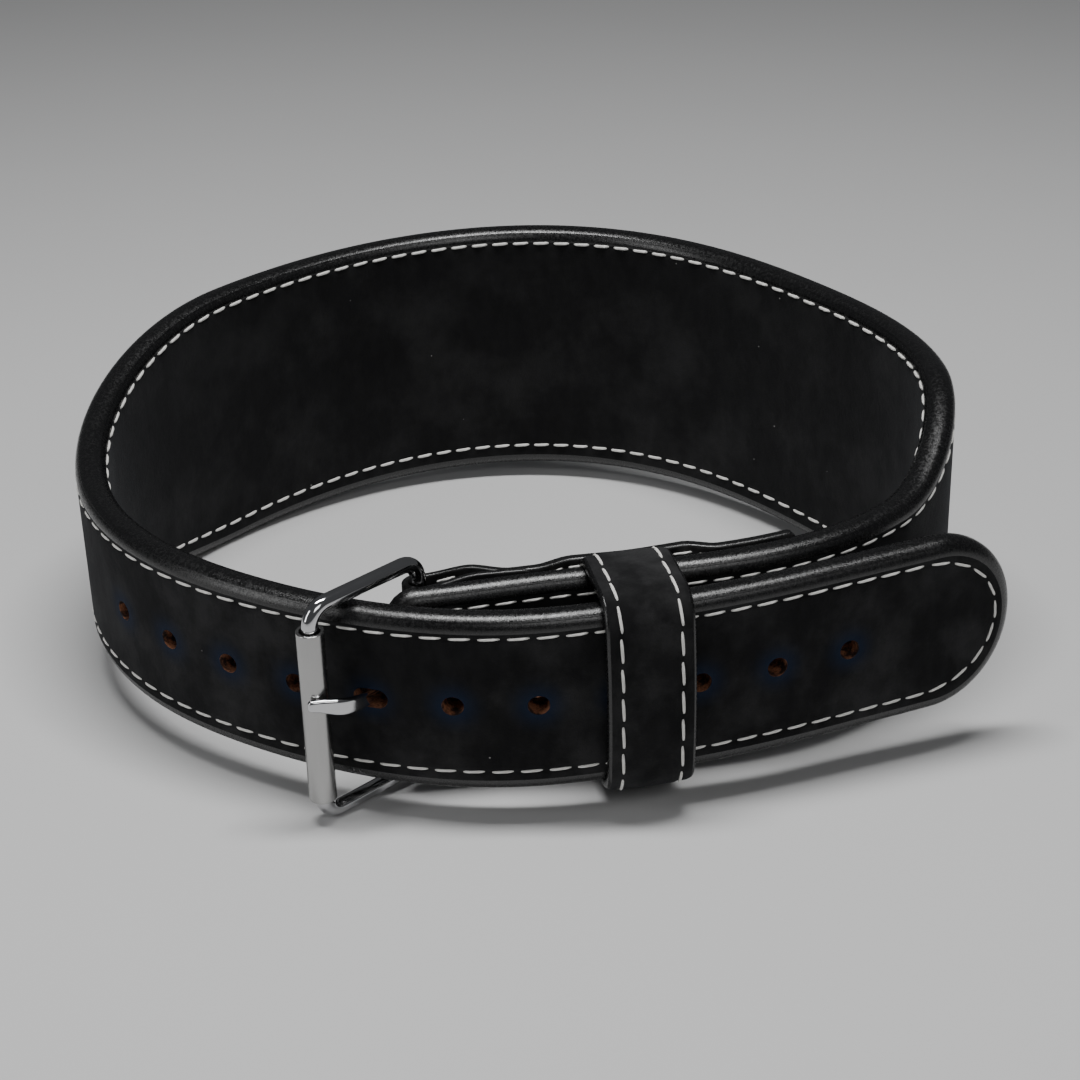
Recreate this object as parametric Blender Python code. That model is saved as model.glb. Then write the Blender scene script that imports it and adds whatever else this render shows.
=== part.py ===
"""A tapered leather lifting belt, fastened on its roller buckle and standing on its lower edge.

The strap is built flat, as it is cut, with its holes punched, and is then bent round its plan path.
Heights are measured from the strap's middle line, and an empty stands the fastened belt on the floor.
"""
import math

import bmesh
import bpy
import numpy as np
from mathutils import Vector

MM = 0.001

# Strap
GIRTH = 829 * MM                # round the waist, from the hole on the prong to the strap's buckle end
TIP_TO_FIRST_HOLE = 59 * MM
HOLE_PITCH = 24.3 * MM
HOLE_COUNT = 11
HOLES_BEFORE_PRONG = 6          # holes between the tip and the hole on the prong
HOLE_DIAMETER = 6.4 * MM
PRONG_HOLE_LENGTH = 10.5 * MM   # the hole on the prong is pulled oval
BACK_WIDTH = 100 * MM
FRONT_WIDTH = 60 * MM
BUCKLE_END_WIDTH = 57 * MM
THICKNESS = 10.2 * MM
SUEDE_THICKNESS = 1.2 * MM
EDGE_RADIUS = 4.7 * MM
HOLE_RISE = 0.7 * MM            # the row of holes above the strap's middle line
BACK_DROP = 1.2 * MM            # the wide back's middle line below the front's
TIP_LENGTH = 28 * MM            # length of the tongue's rounded tip
END_CORNER = 9 * MM
SKIVE_DEPTH = 2.2 * MM          # pared from the inner face behind the buckle
NOTCH_LENGTH = 21 * MM          # lets the prong swing through the strap's buckle end
NOTCH_HEIGHT = 9 * MM

# Clearances
GAP = 0.3 * MM                  # between pieces that touch
LAP_GAP = 0.5 * MM              # where the strap laps itself, and round it inside the keeper
KEEPER_ROOM = 0.9 * MM          # between the keeper and the strap's edges

# Buckle
WIRE = 5.0 * MM
FRAME_LENGTH = 42.0 * MM        # bar to roller, axis to axis
FRAME_ROOM = 3.2 * MM           # above and below the strap inside the frame
FRAME_CORNER = 6.2 * MM
FRAME_DROP = 2.1 * MM           # the frame's middle below the strap's middle line
BAR_INSET = 11 * MM             # bar to the strap's buckle end
ROLLER_DIAMETER = 8.5 * MM
ROLLER_WALL = 1.1 * MM
ROLLER_LENGTH = 58.4 * MM
ROLLER_STANDOFF = 5.0 * MM      # between the roller and the tongue's face
PRONG_WIDTH = 5.0 * MM
PRONG_THICKNESS = 2.3 * MM
PRONG_RISE = 3.8 * MM           # tip above the middle of its hole
PRONG_DROP = 1.4 * MM           # eye below the middle of the hole
PRONG_OVERHANG = 3.2 * MM       # past the roller's crest
PRONG_EYE_WRAP = 268            # degrees that the prong's eye wraps round the bar

# Fold-back strip and keeper
STRIP_HEIGHT = 58 * MM
STRIP_FOLD_HEIGHT = 52 * MM     # cut narrower to sit between the bar's bends
STRIP_THICKNESS = 3.2 * MM
STRIP_FOLD_THICKNESS = 2.2 * MM
STRIP_LENGTH = 115 * MM         # from the bar to its raw end
STRIP_SHORT_LEG = 34 * MM
STRIP_SLOT_HEIGHT = 9 * MM
STRIP_SLOT_LENGTH = 30 * MM
STRIP_CORNER = 2.5 * MM
KEEPER_WIDTH = 27 * MM
KEEPER_THICKNESS = 3.0 * MM
KEEPER_CORNER = 5 * MM          # bend inside the keeper's corners
KEEPER_BOW = 1.2 * MM           # swell of its front face
KEEPER_FROM_PRONG = 81 * MM     # keeper's middle, back along the tongue from the hole on the prong

STATION = 9 * MM                # length of a facet along the strap
LEG_FACET = 6 * MM              # along the strip's short leg
FOLD_FACET = 1.3 * MM           # round the strip's fold, and along the prong
BACK_FACET = 4.5 * MM           # along the strip's long leg
FINE = 1 * MM                   # step of the plan path

LEATHER_DENSITY = 900           # kg per cubic metre
STEEL_DENSITY = 7850

# The strap's bends in plan, from its tip to its buckle end
BENDS = (
    # share of the girth past the prong's hole, degrees turned in a tenth of the girth
    (-0.240, -30),
    (-0.190, 4),
    (-0.140, -16),
    (-0.100, -8),
    (-0.050, -46),
    (0.000, -31),
    (0.050, -20),
    (0.100, -42),
    (0.200, -46),
    (0.270, -36),
    (0.330, -21),
    (0.380, -31),
    (0.480, -47),
    (0.540, -38),
    (0.620, -10),
    (0.675, -41),
    (0.740, -58),
    (0.800, -56),
    (0.850, -42),
    (0.900, -10),
    (0.960, 5),
    (1.000, 17),
)
HEADING_AT_PRONG = 161.3        # degrees, +X being 0

# How far the strap has widened from its front width to its back width
WIDENING = (
    # share of the girth, share of the widening
    (0.148, 0),
    (0.309, 1),
    (0.716, 1),
    (0.798, 0),
)
# How far it has narrowed and thinned towards the buckle
NARROWING = (
    # share of the girth, share of the narrowing
    (0.925, 0),
    (0.985, 1),
)
SKIVING = (
    # share of the girth, share of the skive's depth
    (0.880, 0),
    (0.915, 1),
)
# How the fold-back strip stands off the strap's inner face, past the fold
STRIP_WAVE = (
    # share of the strip's length from the bar, share of the keeper's thickness
    (0.12, 0.8),
    (0.24, 0.1),
    (0.30, 0.15),
    (0.41, 1.0),
    (0.71, 1.0),
    (0.81, 0.1),
    (1.00, 0.1),
)

TAIL = TIP_TO_FIRST_HOLE + HOLES_BEFORE_PRONG * HOLE_PITCH


def ease(table, value):
    """Read a two-column table with a smooth step between its rows."""
    at, level = (np.array(column, float) for column in zip(*table))
    value = np.clip(value, at[0], at[-1])
    row = np.clip(np.searchsorted(at, value, side="right") - 1, 0, len(at) - 2)
    part = (value - at[row]) / (at[row + 1] - at[row])
    return level[row] + (level[row + 1] - level[row]) * part * part * (3 - 2 * part)


class Path:
    """A line in plan that a flat piece is bent along, with a station for each of its points."""

    def __init__(self, points, start=0.0):
        self.points = np.array(points, float)
        steps = np.linalg.norm(np.diff(self.points, axis=0), axis=1)
        self.stations = start + np.concatenate([[0], np.cumsum(steps)])
        tangent = np.gradient(self.points, self.stations, axis=0)
        self.tangent = tangent / np.linalg.norm(tangent, axis=1)[:, None]
        self.outward = np.stack([-self.tangent[:, 1], self.tangent[:, 0]], -1)

    def read(self, values, station):
        return np.stack([np.interp(station, self.stations, values[:, i]) for i in (0, 1)], -1)

    def at(self, station, offset=0.0):
        """The place at a station, moved outwards by an offset."""
        return self.read(self.points, station) + self.read(self.outward, station) * np.expand_dims(offset, -1)

    def direction(self, station):
        return self.read(self.tangent, station)

    @property
    def end(self):
        return self.stations[-1]


def strap_path():
    """The strap's middle line in plan, its loop centred on the origin, from tip to buckle end."""
    count = round((GIRTH + TAIL) / FINE)
    station = np.linspace(-TAIL, GIRTH, count + 1)
    share, bend = (np.array(column, float) for column in zip(*BENDS))
    turn = np.interp(station / GIRTH, share, bend) / (0.1 * GIRTH)
    step = station[1] - station[0]
    heading = np.concatenate([[0], np.cumsum((turn[1:] + turn[:-1]) / 2 * step)])
    heading = np.radians(heading - np.interp(0, station, heading) + HEADING_AT_PRONG)
    middle = (heading[1:] + heading[:-1]) / 2
    walk = np.stack([np.cos(middle), np.sin(middle)], -1) * step
    points = np.concatenate([[[0, 0]], np.cumsum(walk, axis=0)])
    loop = points[(station > 0.05 * GIRTH) & (station < 0.85 * GIRTH)]
    points = points - (loop.min(axis=0) + loop.max(axis=0)) / 2

    # The tongue is pushed out until it clears the strap's buckle end
    inner = points[station > 0.9 * GIRTH]
    outer = points[station < 0.04 * GIRTH]
    nearest = np.linalg.norm(outer[:, None] - inner[None], axis=2).min()
    push = max(0.0, THICKNESS + LAP_GAP - nearest)
    free = ((0.0, 1), (0.15, 0))
    outward = np.stack([-np.sin(heading), np.cos(heading)], -1)
    points = points + outward * (push * ease(free, station / GIRTH))[:, None]
    path = Path(points)
    path.stations = station
    return path


def half_width(station):
    """Half the strap's width at a station."""
    share = station / GIRTH
    width = FRONT_WIDTH + (BACK_WIDTH - FRONT_WIDTH) * ease(WIDENING, share)
    width = width - (FRONT_WIDTH - BUCKLE_END_WIDTH) * ease(NARROWING, share)
    return width / 2


def strap_rise(station):
    """How far the strap's middle line rises or drops at a station."""
    return -BACK_DROP * ease(WIDENING, station / GIRTH)


def edge_inset(offset):
    """How far the strap's rounded edge lies inside its outline at an offset from its middle."""
    rise = np.maximum(0, abs(offset) - (THICKNESS / 2 - EDGE_RADIUS))
    return EDGE_RADIUS - math.sqrt(max(0.0, EDGE_RADIUS ** 2 - rise ** 2))


def stops(first, last, step):
    """Evenly spaced stations from first to last, no further apart than a step."""
    return np.linspace(first, last, math.ceil((last - first) / step) + 1)


def outline(first, last, half, inset, first_corner, last_corner, between):
    """Stations and half widths of a flat piece's outline, inset all round, with elliptical corners.

    The stations in between are used where they lie clear of both corners.
    """
    length, height = first_corner
    height = min(height, half(first + length))
    turn = np.radians(np.linspace(12 if height == half(first + length) else 0, 90, 8))
    start = first + length - (length - inset) * np.cos(turn)
    start_half = half(first + length) - height + (height - inset) * np.sin(turn)
    end_length, end_height = last_corner
    run = between[(between > first + length + MM) & (between < last - end_length - MM)]
    turn = np.radians(np.linspace(90, 0, 5))
    end = last - end_length + (end_length - inset) * np.cos(turn)
    end_half = half(last - end_length) - end_height + (end_height - inset) * np.sin(turn)
    stations = np.concatenate([start, run, end])
    return stations, np.concatenate([start_half, half(run) - inset, end_half])


def flat_piece(name, levels, shape):
    """A flat piece from its outer face to its inner one: stations on X, depth on Y, heights on Z.

    Each level is a pair: a function of the station that gives the depth, and the outline's inset.
    """
    mesh = bmesh.new()
    rings = []
    for depth, inset in levels:
        stations, halves = shape(inset)
        depths = depth(stations)
        top = [mesh.verts.new(place) for place in zip(stations, depths, halves)]
        bottom = [mesh.verts.new(place) for place in zip(stations, depths, -halves)]
        rings.append((top, bottom))
    for (top, bottom), (next_top, next_bottom) in zip(rings, rings[1:]):
        loop = top + bottom[::-1]
        next_loop = next_top + next_bottom[::-1]
        for i in range(len(loop)):
            j = (i + 1) % len(loop)
            mesh.faces.new((loop[i], loop[j], next_loop[j], next_loop[i]))
    for top, bottom in (rings[0], rings[-1]):
        for i in range(len(top) - 1):
            mesh.faces.new((top[i], top[i + 1], bottom[i + 1], bottom[i]))
    bmesh.ops.recalc_face_normals(mesh, faces=mesh.faces)
    return finish(name, mesh)


def finish(name, mesh):
    """Turn a bmesh into an object of the scene."""
    data = bpy.data.meshes.new(name)
    mesh.to_mesh(data)
    mesh.free()
    piece = bpy.data.objects.new(name, data)
    bpy.context.scene.collection.objects.link(piece)
    return piece


def punch(piece, outlines):
    """Cut holes, each an outline of stations and heights, right through a flat piece."""
    mesh = bmesh.new()
    reach = 10 * THICKNESS
    for points in outlines:
        near = [mesh.verts.new((x, -reach, z)) for x, z in points]
        far = [mesh.verts.new((x, reach, z)) for x, z in points]
        mesh.faces.new(near)
        mesh.faces.new(far[::-1])
        for i in range(len(near)):
            j = (i + 1) % len(near)
            mesh.faces.new((near[j], near[i], far[i], far[j]))
    bmesh.ops.recalc_face_normals(mesh, faces=mesh.faces)
    cutter = finish(piece.name + ".punch", mesh)
    cut = piece.modifiers.new("Punch", "BOOLEAN")
    cut.operation = "DIFFERENCE"
    cut.object = cutter
    graph = bpy.context.evaluated_depsgraph_get()
    punched = bpy.data.meshes.new_from_object(piece.evaluated_get(graph))
    piece.modifiers.remove(cut)
    bpy.data.objects.remove(cutter)
    piece.data = punched


def slot(middle, height_middle, length, height, sides=6):
    """Outline of a slot with round ends, or of a round hole."""
    radius = height / 2
    reach = max(0.0, length / 2 - radius)
    points = []
    for side in (1, -1):
        for i in range(sides + 1):
            if reach == 0 and i == sides:
                break
            angle = math.pi * (i / sides - 0.5) + (0 if side == 1 else math.pi)
            points.append((middle + side * reach + radius * math.cos(angle),
                           height_middle + radius * math.sin(angle)))
    return points


def bend(piece, path, lift=None):
    """Bend a flat piece along a plan path, lift it by a function of the station, and triangulate it."""
    mesh = bmesh.new()
    mesh.from_mesh(piece.data)
    bmesh.ops.triangulate(mesh, faces=mesh.faces)
    for vertex in mesh.verts:
        station, depth, height = vertex.co
        x, y = path.at(station, depth)
        vertex.co = (x, y, height + (lift(station) if lift else 0.0))
    mesh.to_mesh(piece.data)
    mesh.free()


def ring(name, middle, outward, across, section):
    """A closed band: a section of (across, outward) points carried round a closed line."""
    mesh = bmesh.new()
    rows = []
    for place, away in zip(middle, outward):
        rows.append([mesh.verts.new(place + away * b + across * a) for a, b in section])
    for row, following in zip(rows, rows[1:] + rows[:1]):
        for i in range(len(section)):
            j = (i + 1) % len(section)
            mesh.faces.new((row[i], row[j], following[j], following[i]))
    bmesh.ops.recalc_face_normals(mesh, faces=mesh.faces)
    return finish(name, mesh)


def rounded_box(low, high, corner, steps=5):
    """Points and outward normals round a rectangle with round corners, in its own plane."""
    places, normals = [], []
    for cx, cy, first in ((high[0], high[1], 0), (low[0], high[1], 90), (low[0], low[1], 180),
                          (high[0], low[1], 270)):
        inner = (cx - math.copysign(corner, cx - (low[0] + high[0]) / 2),
                 cy - math.copysign(corner, cy - (low[1] + high[1]) / 2))
        for i in range(steps + 1):
            angle = math.radians(first + 90 * i / steps)
            away = (math.cos(angle), math.sin(angle))
            places.append((inner[0] + corner * away[0], inner[1] + corner * away[1]))
            normals.append(away)
    return places, normals


def band_section(width, thickness, soft):
    """Section of a band with softened corners, from its inner face outwards."""
    half = width / 2
    return [(-half + soft, 0), (half - soft, 0), (half, soft), (half, thickness - soft),
            (half - soft, thickness), (-half + soft, thickness), (-half, thickness - soft), (-half, soft)]


def smooth_through(points, steps=8):
    """A smooth line through points in plan."""
    points = np.array(points)
    padded = np.concatenate([[2 * points[0] - points[1]], points, [2 * points[-1] - points[-2]]])
    line = []
    for a, b, c, d in zip(padded, padded[1:], padded[2:], padded[3:]):
        for t in np.linspace(0, 1, steps, endpoint=False):
            line.append(0.5 * (2 * b + (c - a) * t + (2 * a - 5 * b + 4 * c - d) * t ** 2
                               + (3 * b - a - 3 * c + d) * t ** 3))
    line.append(points[-1])
    return line


def inner_face(station):
    """How far the strap's inner face lies from its middle, where it is pared and where it is not."""
    return THICKNESS / 2 - SKIVE_DEPTH * ease(SKIVING, station / GIRTH)


def constant(depth):
    """A level at one depth along the whole piece."""
    return lambda station: np.full_like(station, depth)


def skived(depth):
    """A level that rises towards the outer face where the strap is pared behind the buckle."""
    reach = min(1.0, -depth / (THICKNESS / 2 - SUEDE_THICKNESS - GAP))
    return lambda station: depth + SKIVE_DEPTH * reach * ease(SKIVING, station / GIRTH)


def build_strap(path):
    """The strap's leather core and its two suede faces, with the row of holes and the prong's notch."""
    half = THICKNESS / 2
    bevel = half - 0.12 * EDGE_RADIUS
    suede_back = half - SUEDE_THICKNESS
    core_face = suede_back - GAP
    shoulder = half - 0.9 * EDGE_RADIUS
    slope = (core_face + shoulder) / 2

    def shape(inset):
        return outline(-TAIL, GIRTH, half_width, inset, (TIP_LENGTH, FRONT_WIDTH),
                       (END_CORNER, END_CORNER), stops(-TAIL, GIRTH, STATION))

    layers = {
        "outer_suede": [(constant(depth), edge_inset(depth)) for depth in (half, bevel, suede_back)],
        "leather_core": [(constant(core_face), edge_inset(core_face)), (constant(slope), edge_inset(slope)),
                         (constant(shoulder), 0), (skived(-shoulder), 0), (skived(-slope), edge_inset(slope)),
                         (skived(-core_face), edge_inset(core_face))],
        "inner_suede": [(skived(-depth), edge_inset(depth)) for depth in (suede_back, bevel, half)],
    }
    openings = []
    for i in range(HOLE_COUNT):
        place = -TAIL + TIP_TO_FIRST_HOLE + i * HOLE_PITCH
        length = PRONG_HOLE_LENGTH if i == HOLES_BEFORE_PRONG else HOLE_DIAMETER
        openings.append(slot(place, HOLE_RISE, length, HOLE_DIAMETER))
    openings.append(slot(GIRTH - NOTCH_LENGTH / 2 + NOTCH_HEIGHT / 2, 0, NOTCH_LENGTH + NOTCH_HEIGHT, NOTCH_HEIGHT))
    pieces = []
    for name, levels in layers.items():
        piece = flat_piece(name, levels, shape)
        punch(piece, openings)
        bend(piece, path, strap_rise)
        pieces.append(piece)
    return pieces


class Buckle:
    """Where the buckle's bar and roller stand in plan, and the frame's own axes."""

    def __init__(self, strap):
        station = GIRTH - BAR_INSET
        self.bar_station = station
        self.strap_face = inner_face(station)
        away = self.strap_face + GAP + STRIP_FOLD_THICKNESS + GAP + WIRE / 2
        self.bar = strap.at(station, -away)
        self.roller = self.find_roller(strap)
        along = self.roller - self.bar
        length = np.linalg.norm(along)
        self.flat = Vector((along[0] / length, along[1] / length, 0))
        self.up = Vector((0, 0, 1))
        self.side = self.up.cross(self.flat)
        self.length = length
        middle = (self.bar + self.roller) / 2
        self.middle = Vector((middle[0], middle[1], -FRAME_DROP))

    def find_roller(self, strap):
        """The roller clears the tongue's face by the room that the frame's length leaves it."""
        stations = np.arange(0, 0.1 * GIRTH, 0.25 * MM)
        offset = THICKNESS / 2 + ROLLER_STANDOFF + ROLLER_DIAMETER / 2
        places = strap.at(stations, np.full_like(stations, offset))
        miss = abs(np.linalg.norm(places - self.bar, axis=1) - FRAME_LENGTH)
        return places[miss.argmin()]


def build_frame(buckle):
    """The buckle's wire frame: bar, roller side and two arms in one bent rod."""
    half_length = buckle.length / 2
    half_height = FRONT_WIDTH / 2 + FRAME_ROOM + WIRE / 2
    places, normals = rounded_box((-half_length, -half_height), (half_length, half_height), FRAME_CORNER)
    middle = [buckle.middle + buckle.flat * x + buckle.up * z for x, z in places]
    outward = [buckle.flat * x + buckle.up * z for x, z in normals]
    circle = [(WIRE / 2 * math.cos(a), WIRE / 2 * math.sin(a))
              for a in (math.tau * i / 14 for i in range(14))]
    return ring("buckle_frame", middle, outward, buckle.side, circle)


def build_roller(buckle):
    """The tube that turns on the frame's outer side, sunk by its own weight to the lower corner."""
    slack = FRONT_WIDTH + 2 * FRAME_ROOM + WIRE - 2 * FRAME_CORNER - ROLLER_LENGTH
    centre = buckle.middle + buckle.flat * (buckle.length / 2) - buckle.up * (slack / 2)
    inner = ROLLER_DIAMETER / 2 - ROLLER_WALL
    angles = [math.tau * i / 22 for i in range(22)]
    outward = [buckle.flat * math.cos(a) + buckle.side * math.sin(a) for a in angles]
    middle = [centre + away * inner for away in outward]
    return ring("buckle_roller", middle, outward, buckle.up,
                band_section(ROLLER_LENGTH, ROLLER_WALL, 0.25 * MM))


def build_prong(strap, buckle):
    """The prong: an eye curled round the bar, through the notch and the hole, and over the roller."""
    eye = WIRE / 2 + GAP + PRONG_THICKNESS / 2
    inner_mouth = strap.at(-0.25 * PRONG_HOLE_LENGTH, -THICKNESS / 2)
    outer_mouth = strap.at(0.17 * PRONG_HOLE_LENGTH, THICKNESS / 2)
    leave = inner_mouth - buckle.bar
    distance = np.linalg.norm(leave)
    tangent_angle = math.atan2(leave[1], leave[0]) - math.acos(eye / distance)
    curl = [buckle.bar + eye * np.array([math.cos(a), math.sin(a)])
            for a in np.radians(np.arange(-PRONG_EYE_WRAP, 1, 12)) + tangent_angle]
    over = outer_mouth - strap.at(0, 0)
    over = over / np.linalg.norm(over)
    reach = ROLLER_DIAMETER / 2 + GAP + PRONG_THICKNESS / 2
    along = buckle.roller - outer_mouth
    along = along / np.linalg.norm(along)
    square = np.array([along[1], -along[0]])
    square = square * math.copysign(1, square @ over)
    crest = buckle.roller + square * reach
    before = crest - along * 0.9 * ROLLER_DIAMETER
    tip = crest + along * PRONG_OVERHANG - square * 0.25 * MM
    line = curl[:-1] + smooth_through([curl[-1], inner_mouth, outer_mouth, before, crest, tip])
    path = Path(line)

    def half(station):
        slim = ((0.0, 1.0), (0.45, 0.84), (0.62, 0.84), (0.85, 1.08), (1.0, 0.8))
        return PRONG_WIDTH / 2 * ease(slim, np.asarray(station) / path.end)

    soft = 0.45 * MM
    depth = PRONG_THICKNESS / 2

    def shape(inset):
        return outline(0.0, path.end, half, inset, (1 * MM, 1 * MM), (1.5 * MM, 1.5 * MM),
                       stops(0.0, path.end, FOLD_FACET))

    levels = [(constant(depth), soft), (constant(depth - soft), 0), (constant(soft - depth), 0),
              (constant(-depth), soft)]
    piece = flat_piece("buckle_prong", levels, shape)
    in_hole = path.stations[np.linalg.norm(path.points - strap.at(0.0), axis=1).argmin()]

    def lift(station):
        if station < in_hole:
            return HOLE_RISE - PRONG_DROP * (1 - ease(((0.4, 0), (1.0, 1)), station / in_hole))
        return HOLE_RISE + PRONG_RISE * ease(((0.1, 0), (1.0, 1)), (station - in_hole) / (path.end - in_hole))

    bend(piece, path, lift)
    return piece


def strip_path(strap, buckle):
    """The fold-back strip's middle line: along the strap, round the bar and back past the keeper."""
    turn_radius = WIRE / 2 + GAP + STRIP_FOLD_THICKNESS / 2
    lie = buckle.strap_face + GAP + STRIP_FOLD_THICKNESS / 2
    short = np.arange(buckle.bar_station - STRIP_SHORT_LEG, buckle.bar_station, FINE)
    points = list(strap.at(short, np.full_like(short, -lie)))
    away = strap.at(buckle.bar_station, 1.0) - strap.at(buckle.bar_station, 0.0)
    first = math.atan2(away[1], away[0])
    for angle in np.radians(np.arange(0, -181, -12)):
        points.append(buckle.bar + turn_radius * np.array([math.cos(first + angle), math.sin(first + angle)]))
    fold_end = len(points)
    leave = np.linalg.norm(points[-1] - strap.at(buckle.bar_station, 0.0))
    back = np.arange(4 * FINE, STRIP_LENGTH, FINE)
    station = buckle.bar_station - back
    thickness = strip_thickness(back)
    stand_off = (KEEPER_THICKNESS + 5 * GAP) * ease(STRIP_WAVE, back / STRIP_LENGTH)
    offset = inner_face(station) + GAP + stand_off + thickness / 2
    blend = ease(((0.0, 0), (0.24, 1)), back / STRIP_LENGTH)
    offset = leave + (offset - leave) * blend
    points.extend(strap.at(station, -offset))
    return Path(points), fold_end


def strip_thickness(back):
    """The strip's thickness at a distance back from the bar: pared thin for the fold."""
    pared = ease(((0.0, 0), (0.45, 1)), np.clip(back / STRIP_LENGTH, 0, 1))
    return STRIP_FOLD_THICKNESS + (STRIP_THICKNESS - STRIP_FOLD_THICKNESS) * pared


def build_strip(strap, buckle):
    """The thin strip that holds the bar: slotted for the prong, folded and laid back inside the strap."""
    path, fold_end = strip_path(strap, buckle)
    fold_station = path.stations[fold_end - 1]
    fold_length = math.pi * (WIRE / 2 + GAP + STRIP_FOLD_THICKNESS / 2)
    fold_start = fold_station - fold_length
    fold_middle = fold_station - fold_length / 2
    between = np.concatenate([stops(0.0, fold_start, LEG_FACET)[:-1], stops(fold_start, fold_station, FOLD_FACET),
                              stops(fold_station, path.end, BACK_FACET)[1:]])

    def half(station):
        legs = ease(((0.6, 0), (2.0, 1)), abs(station - fold_middle) / fold_length)
        return (STRIP_FOLD_HEIGHT + (STRIP_HEIGHT - STRIP_FOLD_HEIGHT) * legs) / 2

    def level(share):
        return lambda station: share * strip_thickness(np.maximum(0, station - fold_station))

    def shape(inset):
        return outline(0.0, path.end, half, inset, (STRIP_CORNER, STRIP_CORNER),
                       (STRIP_CORNER, STRIP_CORNER), between)

    soft = 0.5 * MM
    levels = [(level(0.5), soft), (level(0.25), 0), (level(-0.25), 0), (level(-0.5), soft)]
    piece = flat_piece("fold_back_strip", levels, shape)
    punch(piece, [slot(fold_middle, 0, STRIP_SLOT_LENGTH, STRIP_SLOT_HEIGHT)])
    bend(piece, path)
    return piece


def build_keeper(strap):
    """The keeper: a leather band round the tongue and the strap behind it."""
    station = -KEEPER_FROM_PRONG
    centre = strap.at(station)
    lap = np.arange(0.8 * GIRTH, GIRTH, FINE)
    gap_to_lap = np.linalg.norm(strap.at(lap) - centre, axis=1)
    behind = lap[gap_to_lap.argmin()]
    along = -(strap.direction(station) + strap.direction(behind))
    along = along / np.linalg.norm(along)
    away = np.array([along[1], -along[0]])
    spread = np.linspace(-0.5, 0.5, 9) * (KEEPER_WIDTH + 2 * MM)
    outer = strap.at(station + spread, np.full_like(spread, THICKNESS / 2))
    inner = strap.at(behind + spread, -inner_face(behind + spread))
    front = ((outer - centre) @ away).max() + LAP_GAP
    back = ((inner - centre) @ away).min() - LAP_GAP
    top = FRONT_WIDTH / 2 + KEEPER_ROOM
    places, normals = rounded_box((back, -top), (front, top), KEEPER_CORNER)
    middle, outward = [], []
    for (x, z), (nx, nz) in zip(subdivide(places), subdivide(normals)):
        swell = KEEPER_BOW * max(0.0, 1 - (z / top) ** 2) if nx > 0.5 else 0
        place = centre + away * (x + swell)
        middle.append(Vector((place[0], place[1], z)))
        outward.append(Vector((away[0] * nx, away[1] * nx, nz)).normalized())
    across = Vector((along[0], along[1], 0))
    return ring("keeper_loop", middle, outward, across,
                band_section(KEEPER_WIDTH, KEEPER_THICKNESS, 0.7 * MM))


def subdivide(values, longest=4):
    """Put extra points on the long sides of a rounded box's outline."""
    values = [np.array(v) for v in values]
    corner = len(values) // 4
    line = []
    for i, value in enumerate(values):
        line.append(value)
        if i % corner == corner - 1:
            following = values[(i + 1) % len(values)]
            line.extend(value + (following - value) * k / longest for k in range(1, longest))
    return line


def dress(piece, colour, roughness, metallic=0.0):
    """Give a piece its own plain material and smooth shading."""
    material = bpy.data.materials.new(piece.name)
    material.use_nodes = True
    shader = material.node_tree.nodes["Principled BSDF"]
    shader.inputs["Base Color"].default_value = (*colour, 1)
    shader.inputs["Roughness"].default_value = roughness
    shader.inputs["Metallic"].default_value = metallic
    piece.data.materials.clear()
    piece.data.materials.append(material)
    piece.data.shade_smooth()
    piece.data.set_sharp_from_angle(angle=math.radians(40))


def mass_centre(pieces):
    """The centre of mass of closed pieces, each given with its density."""
    total, moment = 0.0, Vector((0, 0, 0))
    for piece, density in pieces:
        mesh = bmesh.new()
        mesh.from_mesh(piece.data)
        for a, b, c in (face.verts for face in bmesh.ops.triangulate(mesh, faces=mesh.faces)["faces"]):
            mass = density * a.co.dot(b.co.cross(c.co)) / 6
            total += mass
            moment += mass * (a.co + b.co + c.co) / 4
        mesh.free()
    return moment / total


def stand(pieces):
    """An empty that stands the pieces on the face of their hull that lies below their centre of mass."""
    centre = mass_centre(pieces)
    hull = bmesh.new()
    for piece, _ in pieces:
        for vertex in piece.data.vertices:
            if vertex.co.z < 0:
                hull.verts.new(vertex.co)
    hull.verts.new((0, 0, BACK_WIDTH))
    shell = bmesh.ops.convex_hull(hull, input=hull.verts)
    faces = [item for item in shell["geom"] if isinstance(item, bmesh.types.BMFace)]
    down = Vector((0, 0, -1))
    for face in faces:
        normal = face.normal if face.normal.z < 0 else -face.normal
        foot = centre + normal * (face.verts[0].co - centre).dot(normal)
        if -normal.z > 0.9 and inside(foot, [vertex.co for vertex in face.verts], normal):
            down = normal.copy()
            break
    hull.free()
    turn = down.rotation_difference(Vector((0, 0, -1))).to_matrix()
    corners = [turn @ vertex.co for piece, _ in pieces for vertex in piece.data.vertices]
    low = Vector([min(corner[i] for corner in corners) for i in range(3)])
    high = Vector([max(corner[i] for corner in corners) for i in range(3)])
    stance = bpy.data.objects.new("stance", None)
    bpy.context.scene.collection.objects.link(stance)
    stance.rotation_euler = turn.to_euler()
    stance.location = (-(low.x + high.x) / 2, -(low.y + high.y) / 2, -low.z)
    for piece, _ in pieces:
        piece.parent = stance


def inside(point, corners, normal):
    """Whether a point in a polygon's plane lies within it."""
    sides = [(b - a).cross(point - a).dot(normal) for a, b in zip(corners, corners[1:] + corners[:1])]
    return min(sides) >= 0 or max(sides) <= 0


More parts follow.
